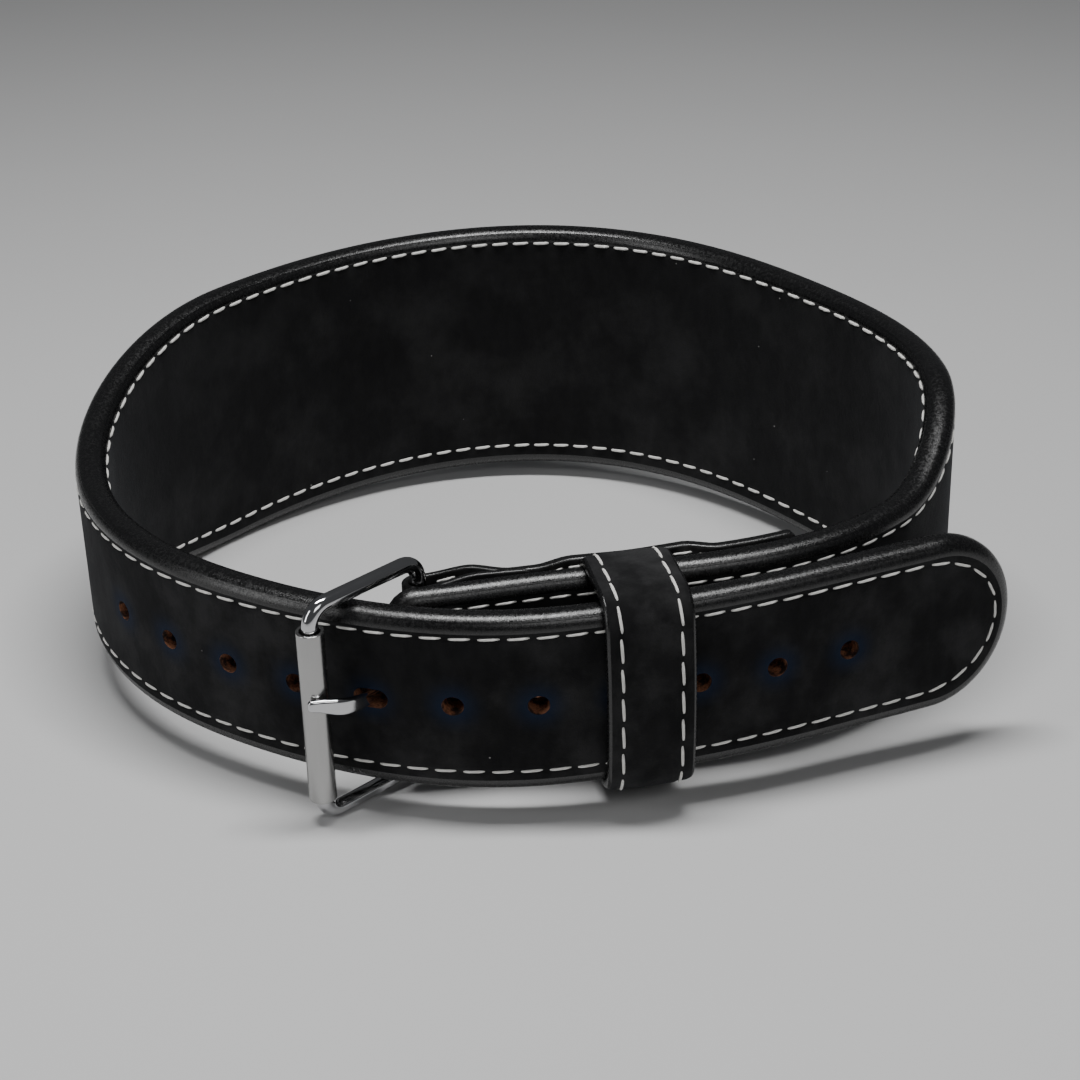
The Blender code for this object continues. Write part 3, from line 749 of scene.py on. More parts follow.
@dataclass
class Strap:
    """The tapered strap: a stacked leather body with suede faces, painted edges, holes and stitch rows."""

    girth: float = 829 * MM
    tip_to_first_hole: float = 59 * MM
    hole_pitch: float = 24.3 * MM
    hole_count: int = 11
    holes_before_prong: int = 6
    hole_diameter: float = 6.4 * MM
    rim: float = 0.55 * MM
    prong_hole_length: float = 10.5 * MM
    back_width: float = 100 * MM
    front_width: float = 60 * MM
    buckle_end_width: float = 57 * MM
    thickness: float = 10.2 * MM
    suede_thickness: float = 1.2 * MM
    edge_radius: float = 4.7 * MM
    hole_rise: float = 0.7 * MM
    back_drop: float = 1.2 * MM
    tip_length: float = 28 * MM
    end_corner: float = 9 * MM
    skive_depth: float = 2.2 * MM
    notch_length: float = 21 * MM
    notch_height: float = 9 * MM
    gap: float = 0.3 * MM
    lap_gap: float = 0.5 * MM
    station_step: float = 2.4 * MM
    stitch_inset: float = 7.0 * MM
    stitch_tip_length: float = 25.3 * MM
    stitch_corner: float = 3.0 * MM
    groove_depth: float = 0.28 * MM
    groove_width: float = 0.75 * MM
    groove_reach: float = 4.0 * MM
    face_skin: float = 0.6 * MM
    pared_skin: float = 0.4 * MM
    groove_batch: int = 2000
    seam_depth: float = 0.16 * MM
    seam_angle: float = 48.1
    edge_angles: tuple = (90, 80, 70, 60, 53, 49.9, 48.1, 46.3, 42, 34, 25, 16, 8, 0)
    face_shares: tuple = (0.0, 0.14, 0.28, 0.42, 0.56, 0.70, 0.85)
    face_insets: tuple = (9.2, 8.6, 8.15, 7.8, 7.45, 7.1, 6.7, 6.3, 5.95, 5.5, 5.1)
    hole_sides: int = 40
    painted_sheen_reach: float = 6.0 * MM
    side_on: float = 0.3
    touch: float = 0.1 * MM
    heading_at_prong: float = 161.3
    bends: tuple = ((-0.240, -30), (-0.190, 4), (-0.140, -16), (-0.100, -8), (-0.050, -46), (0.000, -31),
                    (0.050, -20), (0.100, -42), (0.200, -46), (0.270, -36), (0.330, -21), (0.380, -31),
                    (0.480, -47), (0.540, -38), (0.620, -10), (0.675, -41), (0.740, -58), (0.800, -56),
                    (0.850, -42), (0.900, -10), (0.960, 5), (1.000, 17))
    widening: tuple = ((0.148, 0), (0.309, 1), (0.716, 1), (0.798, 0))
    narrowing: tuple = ((0.925, 0), (0.985, 1))
    skiving: tuple = ((0.880, 0), (0.915, 1))
    pushed_lap: tuple = ((0.0, 1), (0.15, 0))
    pared_from: float = 0.87
    loop_span: tuple = (0.05, 0.85)
    lap_outer: float = 0.04
    lap_inner: float = 0.9
    path: PlanPath = field(init=False)
    outer_stitches: Stitching = field(default_factory=Stitching)
    inner_stitches: Stitching = field(default_factory=lambda: Stitching(dash=6.3 * MM, width=1.1 * MM))

    def __post_init__(self) -> None:
        """Lay out the path and the edge's levels."""
        self.path = self.plan_path()
        self.edge_arc = self.edge_radius * math.pi + self.thickness - 2 * self.edge_radius

    @property
    def tail(self) -> float:
        """From the hole on the prong to the tongue's tip."""
        return self.tip_to_first_hole + self.holes_before_prong * self.hole_pitch

    def plan_path(self) -> PlanPath:
        """Lay the strap's middle line out in plan, from tip to buckle end.

        Returns:
            The line, its loop centred on the origin and its stations counted from the hole on the prong.
        """
        station = np.linspace(-self.tail, self.girth, round((self.girth + self.tail) / MM) + 1)
        share, turns = (np.array(column, float) for column in zip(*self.bends))
        turn = np.interp(station / self.girth, share, turns) / (0.1 * self.girth)
        step = station[1] - station[0]
        heading = np.concatenate([[0], np.cumsum((turn[1:] + turn[:-1]) / 2 * step)])
        heading = np.radians(heading - np.interp(0, station, heading) + self.heading_at_prong)
        middle = (heading[1:] + heading[:-1]) / 2
        walk = np.stack([np.cos(middle), np.sin(middle)], -1) * step
        points = np.concatenate([[[0, 0]], np.cumsum(walk, axis=0)])
        loop_start, loop_end = self.loop_span
        loop = points[(station > loop_start * self.girth) & (station < loop_end * self.girth)]
        points = points - (loop.min(axis=0) + loop.max(axis=0)) / 2
        inner = points[station > self.lap_inner * self.girth]
        outer = points[station < self.lap_outer * self.girth]
        nearest = np.linalg.norm(outer[:, None] - inner[None], axis=2).min()
        push = max(0.0, self.thickness + self.lap_gap - nearest)
        outward = np.stack([-np.sin(heading), np.cos(heading)], -1)
        points = points + outward * (push * ease(self.pushed_lap, station / self.girth))[:, None]
        path = PlanPath(points)
        path.stations = station
        return path

    def half_width(self, station: float | np.ndarray) -> np.ndarray:
        """Half the strap's width at a station."""
        share = station / self.girth
        width = self.front_width + (self.back_width - self.front_width) * ease(self.widening, share)
        width = width - (self.front_width - self.buckle_end_width) * ease(self.narrowing, share)
        return width / 2

    def rise(self, station: float | np.ndarray) -> np.ndarray:
        """How far the strap's middle line rises at a station: it drops at the back."""
        return -self.back_drop * ease(self.widening, station / self.girth)

    def inner_face(self, station: float | np.ndarray) -> np.ndarray:
        """How far the strap's inner face lies from its middle."""
        return self.thickness / 2 - self.skive_depth * ease(self.skiving, station / self.girth)

    def bend(self, flat: np.ndarray) -> np.ndarray:
        """Flat points of stations, depths and heights, bent round the waist and stood on the floor."""
        plan = self.path.at(flat[:, 0], flat[:, 1])
        height = flat[:, 2] + self.rise(flat[:, 0])
        return STANCE.place(np.column_stack([plan, height]))

    def cut(self) -> Cut:
        """The outline that the strap is cut to."""
        return Cut(-self.tail, self.girth, self.half_width, (self.tip_length, self.front_width),
                   (self.end_corner, self.end_corner), stops(-self.tail, self.girth, self.station_step),
                   first_steps=30, last_steps=7)

    def level_depth(self, depth: float) -> Callable[[np.ndarray], np.ndarray]:
        """A level's depth along the strap: the inner ones rise where the strap is pared."""
        reach = min(1.0, max(0.0, -depth / (self.thickness / 2 - self.suede_thickness - self.gap)))
        return lambda station: depth + self.skive_depth * reach * ease(self.skiving, station / self.girth)

    def levels(self) -> list[Level]:
        """Space the strap's lines out over its faces and its round edge.

        Returns:
            The lines from the middle of its outer face to the middle of its inner one.
        """
        face = self.thickness / 2
        flat_side = face - self.edge_radius
        innermost = self.face_insets[0] * MM
        outer_depth = self.level_depth(face)
        face_rows = [Level(outer_depth, innermost, self.edge_radius - innermost - 0.03 * (1 - share), share)
                     for share in self.face_shares]
        face_rows += [Level(outer_depth, inset * MM, self.edge_radius - inset * MM)
                      for inset in self.face_insets]
        rows = list(face_rows)
        for side in Side:
            for angle in self.edge_angles[::side.value]:
                turn = math.radians(angle)
                seam = self.seam_depth if angle == self.seam_angle else 0
                inset = self.edge_radius * (1 - math.cos(turn)) + seam
                depth = side.value * (flat_side + self.edge_radius * math.sin(turn))
                arc = self.edge_radius * (math.pi / 2 - turn)
                across = arc if side is Side.OUTER else self.edge_arc - arc
                rows.append(Level(self.level_depth(depth), inset, across))
        for row in face_rows[::-1]:
            rows.append(Level(self.level_depth(-face), row.inset, self.edge_arc - row.across, row.share))
        return rows

    def stitch_row(self) -> np.ndarray:
        """Draw the stitch row: round the tip, back, and across the buckle end.

        Returns:
            The closed row in stations and heights.
        """
        inset = self.stitch_inset
        centre = -self.tail + inset + self.stitch_tip_length
        reach = float(self.half_width(centre)) - inset
        turn = np.radians(np.linspace(90, 270, 73))
        tip = np.stack([centre + self.stitch_tip_length * np.cos(turn), reach * np.sin(turn)], -1)
        last = self.girth - inset
        corner = self.stitch_corner
        run = stops(centre + MM, last - corner, 2 * MM)
        side = self.half_width(run) - inset
        drop = -self.rise(run)
        bottom = np.stack([run, drop - side], -1)
        turn = np.radians(np.linspace(-90, 0, 7)[1:])
        end_half = float(self.half_width(last)) - inset
        round_end = np.stack([last - corner + corner * np.cos(turn),
                              -end_half + corner + corner * np.sin(turn)], -1)
        top = np.stack([run, drop + side], -1)[::-1]
        line = np.concatenate([tip, bottom, round_end, round_end[::-1] * (1, -1), top])
        return line + (0, self.hole_rise)

    def hole_stations(self) -> list[float]:
        """Where the holes are."""
        return [-self.tail + self.tip_to_first_hole + i * self.hole_pitch for i in range(self.hole_count)]

    def groove(self, flat: np.ndarray) -> np.ndarray:
        """Press the stitch row into both faces.

        Args:
            flat: the flat strap's points.

        Returns:
            The points with the groove in them.
        """
        row = self.stitch_row()
        fine = read_line(row, np.arange(0, distances(row)[-1], self.station_step / 2))
        on_face = np.where(abs(flat[:, 1]) > self.thickness / 2 - self.face_skin)[0]
        pared = np.where((flat[:, 1] < 0) & (flat[:, 0] > self.pared_from * self.girth)
                         & (abs(flat[:, 1] + self.inner_face(flat[:, 0])) < self.pared_skin))[0]
        chosen = np.unique(np.concatenate([on_face, pared]))
        sorted_row = fine[np.argsort(fine[:, 0])]
        moved = flat.copy()
        for index in np.array_split(chosen, max(1, len(chosen) // self.groove_batch)):
            low = np.searchsorted(sorted_row[:, 0], flat[index, 0].min() - self.groove_reach)
            high = np.searchsorted(sorted_row[:, 0], flat[index, 0].max() + self.groove_reach)
            if high <= low:
                continue
            away = flat[index][:, None, [0, 2]] - sorted_row[None, low:high]
            distance = np.sqrt((away ** 2).sum(-1).min(axis=1))
            press = self.groove_depth * np.exp(-(distance / self.groove_width) ** 2)
            moved[index, 1] -= np.sign(flat[index, 1]) * press
        return moved

    def punch(self, piece: bpy.types.Object) -> None:
        """Cut the holes and the notch right through the flat strap, then turn in the holes' rims."""
        oval = (self.prong_hole_length - self.hole_diameter) / 2
        holes = [(station, self.hole_rise, self.hole_diameter / 2, 0.0) for station in self.hole_stations()]
        holes[self.holes_before_prong] = (0.0, self.hole_rise, self.hole_diameter / 2, oval)
        notch = (self.girth - (self.notch_length - self.notch_height) / 2, 0.0, self.notch_height / 2,
                 self.notch_length / 2)
        through, rims = [], []
        deselect()
        for station, height, radius, stretch in holes + [notch]:
            bpy.ops.mesh.primitive_cylinder_add(vertices=self.hole_sides, radius=radius,
                                                depth=4 * self.thickness, location=(station, 0, height),
                                                rotation=ACROSS_LEATHER)
            through.append(stretched_cutter(station, stretch))
        for station, height, radius, stretch in holes:
            place = (station, (self.thickness + self.rim) / 2, height)
            bpy.ops.mesh.primitive_cone_add(vertices=self.hole_sides, radius1=radius + 2 * self.rim,
                                            radius2=radius - self.rim, depth=3 * self.rim, location=place,
                                            rotation=ACROSS_LEATHER)
            rims.append(stretched_cutter(station, stretch))
        subtract(piece, through)
        subtract(piece, rims)

    def dress(self, piece: bpy.types.Object, finishes: list[bpy.types.Material]) -> None:
        """Give the strap's faces, edges and holes their finishes, while it is flat.

        Args:
            piece: the flat strap.
            finishes: outer suede, painted edge, inner suede and raw leather.
        """
        data = piece.data
        dress_with(piece, *finishes)
        outer_face, painted_edge, inner_face, raw_wall = range(4)
        across = read_all(data.uv_layers[0].data, "uv", 2)[:, 1]
        starts = read_all(data.polygons, "loop_start", 1, np.int32)[:, 0]
        counts = read_all(data.polygons, "loop_total", 1, np.int32)[:, 0]
        centres = read_all(data.polygons, "center", 3)
        side_on = abs(read_all(data.polygons, "normal", 3)[:, 1]) < self.side_on
        mean = np.add.reduceat(across, starts) / counts
        index = np.where(mean < 0, outer_face, np.where(mean < self.edge_arc, painted_edge, inner_face))
        for station in self.hole_stations():
            oval = self.prong_hole_length / 2 if abs(station) < MM else self.hole_diameter / 2
            room = 1.5 * self.rim
            inside = ((abs(centres[:, 0] - station) < oval + room)
                      & (abs(centres[:, 2] - self.hole_rise) < self.hole_diameter / 2 + room))
            face = np.where(centres[:, 1] > 0, outer_face, inner_face)
            index[inside] = np.where(side_on, raw_wall, face)[inside]
        in_notch = ((centres[:, 0] > self.girth - self.notch_length - self.touch)
                    & (abs(centres[:, 2]) < self.notch_height / 2 + self.touch) & side_on)
        index[in_notch] = raw_wall
        data.polygons.foreach_set("material_index", index.astype(np.int32))
        # Painted sheen round the holes: a point attribute that fades out from each rim, which the suede mixes
        # into a dark blue colour.
        flat = points_of(piece)
        nearest = np.full(len(flat), 1.0)
        for station in self.hole_stations():
            nearest = np.minimum(nearest, np.hypot(flat[:, 0] - station, flat[:, 2] - self.hole_rise))
        painted_hole_sheen = np.clip(1 - (nearest - self.hole_diameter / 2 - self.rim) / self.painted_sheen_reach, 0, 1) ** 1.5
        data.attributes.new("painted_hole_sheen", "FLOAT", "POINT").data.foreach_set("value", painted_hole_sheen.astype(np.float32))

    def build_body(self, finishes: list[bpy.types.Material]) -> bpy.types.Object:
        """Shape, punch, dress and bend the strap's body.

        Args:
            finishes: outer suede, painted edge, inner suede and raw leather.

        Returns:
            The body.
        """
        piece = shell("strap_body", self.cut(), self.levels())
        move_points(piece, self.groove(points_of(piece)))
        self.punch(piece)
        self.dress(piece, finishes)
        move_points(piece, self.bend(points_of(piece)))
        smooth(piece)
        return piece

    def build_stitches(self, side: Side, finish: bpy.types.Material) -> bpy.types.Object:
        """Sew the stitch row of one face.

        Args:
            side: the face.
            finish: the thread's material.

        Returns:
            The row of stitches.
        """
        row = self.stitch_row()
        sewing = self.outer_stitches if side is Side.OUTER else self.inner_stitches
        middle = along_line(row, sewing.pitch)
        place = read_line(row, middle)
        at_notch = ((place[:, 0] > self.girth - 1.5 * self.stitch_inset)
                    & (abs(place[:, 1]) < 0.8 * self.notch_height))
        middle = middle[~at_notch]
        ends = []
        for distance in (middle - sewing.dash / 2, middle + sewing.dash / 2):
            flat = read_line(row, distance)
            face = self.inner_face(flat[:, 0]) if side is Side.INNER else self.thickness / 2
            depth = np.broadcast_to(side.value * (face - self.groove_depth), len(flat))
            ends.append(self.bend(np.column_stack([flat[:, 0], depth, flat[:, 1]])))
        outward = STANCE.turn(self.path.level_outward(read_line(row, middle)[:, 0]) * side.value)
        name = "strap_stitches_" + side.name.lower()
        return sewing.sew(name, (ends[0] + ends[1]) / 2, ends[1] - ends[0], outward, finish)


@dataclass
class Keeper:
    """The suede keeper that holds the tongue down, sewn along both its edges."""

    strap: Strap
    width: float = 27 * MM
    thickness: float = 3.0 * MM
    corner: float = 6.8 * MM
    bow: float = 2.4 * MM
    crown: float = 0.7 * MM
    from_prong: float = 81 * MM
    lap_from: float = 0.8
    room: float = 0.9 * MM
    stitch_inset: float = 4.4 * MM
    edge: float = 1.35 * MM
    inner_edge: float = 0.6 * MM
    corner_steps: int = 12
    side_step: float = 2.2 * MM
    groove_depth: float = 0.3 * MM
    groove_width: float = 0.8 * MM
    thread_lift: float = 0.15 * MM
    thread_follow: float = 0.75
    stitches: Stitching = field(
        default_factory=lambda: Stitching(pitch=9.9 * MM, dash=8.2 * MM, width=0.95 * MM))

    def __post_init__(self) -> None:
        """Find where the keeper sits and the line that it follows, in the strap's frame."""
        strap = self.strap
        station = -self.from_prong
        centre = strap.path.at(station)
        lap = np.arange(self.lap_from * strap.girth, strap.girth, MM)
        behind = lap[np.linalg.norm(strap.path.at(lap) - centre, axis=1).argmin()]
        run = strap.path.read(strap.path.tangent, station) + strap.path.read(strap.path.tangent, behind)
        along = -run / np.linalg.norm(run)
        away = np.array([along[1], -along[0]])
        spread = np.linspace(-0.5, 0.5, 9) * (self.width + 2 * MM)
        outer = strap.path.at(station + spread, np.full_like(spread, strap.thickness / 2))
        inner = strap.path.at(behind + spread, -strap.inner_face(behind + spread))
        front = ((outer - centre) @ away).max() + strap.lap_gap
        back = ((inner - centre) @ away).min() - strap.lap_gap
        top = strap.front_width / 2 + self.room
        places, normals = rounded_box((back, -top), (front, top), self.corner, self.corner_steps,
                                      self.side_step)
        swell = np.where(normals[:, 0] > 0.5, self.bow * np.maximum(0, 1 - (places[:, 1] / top) ** 2), 0)
        plan = centre + away * (places[:, 0] + swell)[:, None]
        self.middle = np.column_stack([plan, places[:, 1]])
        self.outward = np.column_stack([normals[:, :1] * away, normals[:, 1]])
        self.across = np.array([along[0], along[1], 0.0])

    def section(self) -> np.ndarray:
        """Draw the keeper's section: round edges, and a crown between two grooves.

        Returns:
            Points round the section, across the keeper and outwards from its inner face.
        """
        half = self.width / 2
        soft = self.inner_edge
        rim = self.edge
        points = [(-half + soft, 0)] + [(a, 0) for a in np.linspace(-half + 3 * MM, half - 3 * MM, 5)]
        points += [(half - soft, 0), (half - 0.25 * soft, 0.25 * soft), (half, soft)]
        turn = np.radians(np.linspace(0, 90, 7))
        height = self.thickness - rim + rim * np.sin(turn)
        points += list(zip(half - rim + rim * np.cos(turn), height))
        face = np.linspace(half - rim, -half + rim, 41)[1:-1]
        line = half - self.stitch_inset
        groove = self.groove_depth * np.exp(-((abs(face) - line) / self.groove_width) ** 2)
        lift = self.crown * np.clip(1 - (abs(face) / half) ** 2.5, 0, 1)
        points += list(zip(face, self.thickness + lift - groove))
        points += list(zip(-half + rim - rim * np.cos(turn[::-1]), height[::-1]))
        points += [(-half, soft), (-half + 0.25 * soft, 0.25 * soft)]
        return np.array(points)

    def build_band(self, suede: bpy.types.Material, edge: bpy.types.Material) -> bpy.types.Object:
        """Shape and dress the keeper's band.

        Args:
            suede: the finish of its faces.
            edge: the finish of its cut edges.

        Returns:
            The band.
        """
        piece = band("keeper_band", self.middle, self.outward, self.across, self.section())
        flat = points_of(piece)
        centre = self.middle.mean(axis=0)
        reach = abs((flat - centre) @ self.across)
        at_rim = reach > self.width / 2 - 0.75 * self.edge
        dress_with(piece, suede, edge)
        for polygon in piece.data.polygons:
            polygon.material_index = int(all(at_rim[v] for v in polygon.vertices))
        move_points(piece, STANCE.place(flat))
        smooth(piece)
        return piece

    def build_stitches(self, finish: bpy.types.Material) -> bpy.types.Object:
        """Sew both rows round the keeper.

        Args:
            finish: the thread's material.

        Returns:
            The two rows as one piece.
        """
        closed = np.concatenate([self.middle, self.middle[:1]])
        away = np.concatenate([self.outward, self.outward[:1]])
        face = closed + away * (self.thickness + self.thread_lift)
        middle = along_line(face, self.stitches.pitch)
        run = distances(face)
        ends = [read_line(face, np.clip(middle + shift, 0, run[-1]))
                for shift in (-self.stitches.dash / 2, self.stitches.dash / 2)]
        normal = np.stack([np.interp(middle, run, away[:, i]) for i in range(3)], -1)
        chord = (ends[0] + ends[1]) / 2
        place = chord + self.thread_follow * (read_line(face, middle) - chord)
        shift = self.across * (self.width / 2 - self.stitch_inset)
        places = np.concatenate([STANCE.place(place + shift * side.value) for side in Side])
        along, outward = (np.tile(STANCE.turn(way), (2, 1)) for way in (ends[1] - ends[0], normal))
        return self.stitches.sew("keeper_stitches", places, along, outward, finish)


@dataclass
class Buckle:
    """The roller buckle: a bent wire frame, the roller on its outer side and the prong on its bar."""

    strap: Strap
    wire: float = 5.0 * MM
    frame_length: float = 42.0 * MM
    frame_room: float = 3.2 * MM
    frame_corner: float = 6.2 * MM
    frame_drop: float = 2.1 * MM
    bar_inset: float = 11 * MM
    roller_diameter: float = 8.5 * MM
    roller_wall: float = 1.1 * MM
    roller_length: float = 58.4 * MM
    roller_standoff: float = 5.0 * MM
    roller_chamfer: float = 0.28 * MM
    prong_width: float = 5.0 * MM
    prong_thickness: float = 2.3 * MM
    prong_rise: float = 3.8 * MM
    prong_drop: float = 1.4 * MM
    prong_overhang: float = 3.2 * MM
    prong_eye_wrap: int = 268
    prong_soft_edge: float = 1.05 * MM
    prong_mouths: tuple = (-0.25, 0.04)
    prong_crest_run: float = 0.9
    prong_tip_droop: float = 0.25 * MM
    prong_drop_blend: tuple = ((0.4, 0), (1.0, 1))
    prong_rise_blend: tuple = ((0.1, 0), (1.0, 1))
    prong_taper: tuple = ((0.0, 1.0), (0.42, 0.84), (0.56, 0.72), (0.85, 1.1), (1.0, 0.75))
    wire_sides: int = 36
    roller_sides: int = 72
    fold_thickness: float = 2.2 * MM

    def __post_init__(self) -> None:
        """Find the bar, the roller and the frame's own axes."""
        strap = self.strap
        self.bar_station = strap.girth - self.bar_inset
        self.strap_face = float(strap.inner_face(self.bar_station))
        away = self.strap_face + strap.gap + self.fold_thickness + strap.gap + self.wire / 2
        self.bar = strap.path.at(self.bar_station, -away)
        stations = np.arange(0, 0.1 * strap.girth, 0.25 * MM)
        offset = strap.thickness / 2 + self.roller_standoff + self.roller_diameter / 2
        places = strap.path.at(stations, np.full_like(stations, offset))
        miss = abs(np.linalg.norm(places - self.bar, axis=1) - self.frame_length)
        self.roller = places[miss.argmin()]
        along = self.roller - self.bar
        self.length = float(np.linalg.norm(along))
        flat = Vector((along[0], along[1], 0)) / self.length
        up = Vector((0, 0, 1))
        middle = (self.bar + self.roller) / 2
        self.axes = Matrix((flat, up.cross(flat), up)).transposed().to_4x4()
        self.axes.translation = (middle[0], middle[1], -self.frame_drop)
        self.half_height = strap.front_width / 2 + self.frame_room + self.wire / 2

    def settle(self, piece: bpy.types.Object, name: str, finish: bpy.types.Material) -> bpy.types.Object:
        """Close a buckle piece, put it in the frame's place and dress it.

        Args:
            piece: the piece, about the frame's own middle.
            name: its name.
            finish: its metal.

        Returns:
            The finished piece.
        """
        close_shell(piece)
        rename(piece, name)
        piece.data.transform(STANCE.matrix() @ self.axes)
        dress_with(piece, finish)
        smooth(piece)
        return piece

    def build_wire(self, finish: bpy.types.Material) -> bpy.types.Object:
        """Draw the wire's round section up its side, round the corner and on, four times.

        Args:
            finish: its metal.

        Returns:
            The closed wire.
        """
        deselect()
        half_length = self.length / 2
        inner_x = half_length - self.frame_corner
        inner_z = self.half_height - self.frame_corner
        bpy.ops.mesh.primitive_circle_add(vertices=self.wire_sides, radius=self.wire / 2,
                                          location=(half_length, 0, -inner_z))
        piece = settle_transform()
        bpy.ops.object.mode_set(mode="EDIT")
        bpy.ops.mesh.select_all(action="SELECT")
        legs = (((0, 0, 2 * inner_z), (inner_x, 0, inner_z)),
                ((-2 * inner_x, 0, 0), (-inner_x, 0, inner_z)),
                ((0, 0, -2 * inner_z), (-inner_x, 0, -inner_z)),
                ((2 * inner_x, 0, 0), (inner_x, 0, -inner_z)))
        for leg, pivot in legs:
            bpy.ops.mesh.extrude_edges_move(TRANSFORM_OT_translate={"value": leg})
            bpy.ops.mesh.spin(steps=CURVE_STEPS, angle=math.pi / 2, center=pivot, axis=(0, 1, 0))
        bpy.ops.object.mode_set(mode="OBJECT")
        return self.settle(piece, "frame_wire", finish)

    def build_roller(self, finish: bpy.types.Material) -> bpy.types.Object:
        """Turn the roller's wall, with its chamfered rims, round its axis.

        Args:
            finish: its metal.

        Returns:
            The roller.
        """
        deselect()
        low = self.frame_corner - self.half_height
        axis = (self.length / 2, 0, 0)
        radius = self.roller_diameter / 2
        bpy.ops.mesh.primitive_plane_add(size=1, rotation=(math.pi / 2, 0, 0))
        piece = settle_transform()
        points = points_of(piece)
        points[:, 0] = axis[0] + radius - self.roller_wall * (0.5 - points[:, 0])
        points[:, 2] = low + self.roller_length * (points[:, 2] + 0.5)
        move_points(piece, points)
        bpy.ops.object.mode_set(mode="EDIT")
        bpy.ops.mesh.select_all(action="SELECT")
        bpy.ops.mesh.bevel(offset=self.roller_chamfer, segments=3, affect="VERTICES")
        bpy.ops.mesh.select_all(action="SELECT")
        bpy.ops.mesh.delete(type="ONLY_FACE")
        bpy.ops.mesh.select_all(action="SELECT")
        bpy.ops.mesh.spin(steps=self.roller_sides, angle=math.tau, center=axis, axis=(0, 0, 1))
        bpy.ops.object.mode_set(mode="OBJECT")
        return self.settle(piece, "roller_tube", finish)

    def prong_path(self) -> PlanPath:
        """Lay out the prong's middle line.

        Returns:
            The line, curled round the bar, through the hole and over the roller.
        """
        strap = self.strap
        eye = self.wire / 2 + strap.gap + self.prong_thickness / 2
        inner_mouth, outer_mouth = (strap.path.at(share * strap.prong_hole_length, side * strap.thickness / 2)
                                    for share, side in zip(self.prong_mouths, (-1, 1)))
        leave = inner_mouth - self.bar
        tangent = math.atan2(leave[1], leave[0]) - math.acos(eye / np.linalg.norm(leave))
        curl = [self.bar + eye * np.array([math.cos(a), math.sin(a)])
                for a in np.radians(np.arange(-self.prong_eye_wrap, 1, 4)) + tangent]
        over = outer_mouth - strap.path.at(0.0)
        along = self.roller - outer_mouth
        along = along / np.linalg.norm(along)
        square = np.array([along[1], -along[0]])
        square = square * math.copysign(1, square @ over)
        crest = self.roller + square * (self.roller_diameter / 2 + strap.gap + self.prong_thickness / 2)
        before = crest - along * self.prong_crest_run * self.roller_diameter
        tip = crest + along * self.prong_overhang - square * self.prong_tip_droop
        return PlanPath(curl[:-1] + smooth_through([curl[-1], inner_mouth, outer_mouth, before, crest, tip]))

    def build_prong(self, finish: bpy.types.Material) -> bpy.types.Object:
        """Shape the prong flat, then bend it along its line.

        Args:
            finish: its metal.

        Returns:
            The prong.
        """
        path = self.prong_path()
        cut = Cut(0.0, path.end, lambda at: self.prong_width / 2 * ease(self.prong_taper, at / path.end),
                  (MM, MM), (1.5 * MM, 1.5 * MM), stops(0.0, path.end, 0.5 * MM))
        depth = self.prong_thickness / 2
        soft = self.prong_soft_edge
        levels = [Level(lambda s: np.full_like(s, depth), soft, 0.0, share) for share in (0.0, 0.5)]
        for side in (1, -1):
            for angle in (90, 67, 45, 22, 0)[::side]:
                turn = math.radians(angle)
                place = side * (depth - soft + soft * math.sin(turn))
                inset = soft * (1 - math.cos(turn))
                levels.append(Level(lambda s, place=place: np.full_like(s, place), inset, place))
        levels += [Level(lambda s: np.full_like(s, -depth), soft, 0.0, share) for share in (0.5, 0.0)]
        piece = shell("prong_tongue", cut, levels)
        flat = points_of(piece)
        in_hole = path.stations[np.linalg.norm(path.points - self.strap.path.at(0.0), axis=1).argmin()]
        station = flat[:, 0]
        before = -self.prong_drop * (1 - ease(self.prong_drop_blend, station / in_hole))
        after = self.prong_rise * ease(self.prong_rise_blend, (station - in_hole) / (path.end - in_hole))
        lift = self.strap.hole_rise + np.where(station < in_hole, before, after)
        move_points(piece, STANCE.place(np.column_stack([path.at(station, flat[:, 1]), flat[:, 2] + lift])))
        dress_with(piece, finish)
        smooth(piece)
        return piece


def smooth_through(points: list, steps: int = CURVE_STEPS) -> list:
    """Draw a smooth line through points in plan.

    Args:
        points: the points.
        steps: the steps from each to the next.

    Returns:
        The line's points.
    """
    points = np.array(points)
    padded = np.concatenate([[2 * points[0] - points[1]], points, [2 * points[-1] - points[-2]]])
    line = []
    for a, b, c, d in zip(padded, padded[1:], padded[2:], padded[3:]):
        for t in np.linspace(0, 1, steps, endpoint=False):
            line.append(0.5 * (2 * b + (c - a) * t + (2 * a - 5 * b + 4 * c - d) * t ** 2
                               + (3 * b - a - 3 * c + d) * t ** 3))
    line.append(points[-1])
    return line


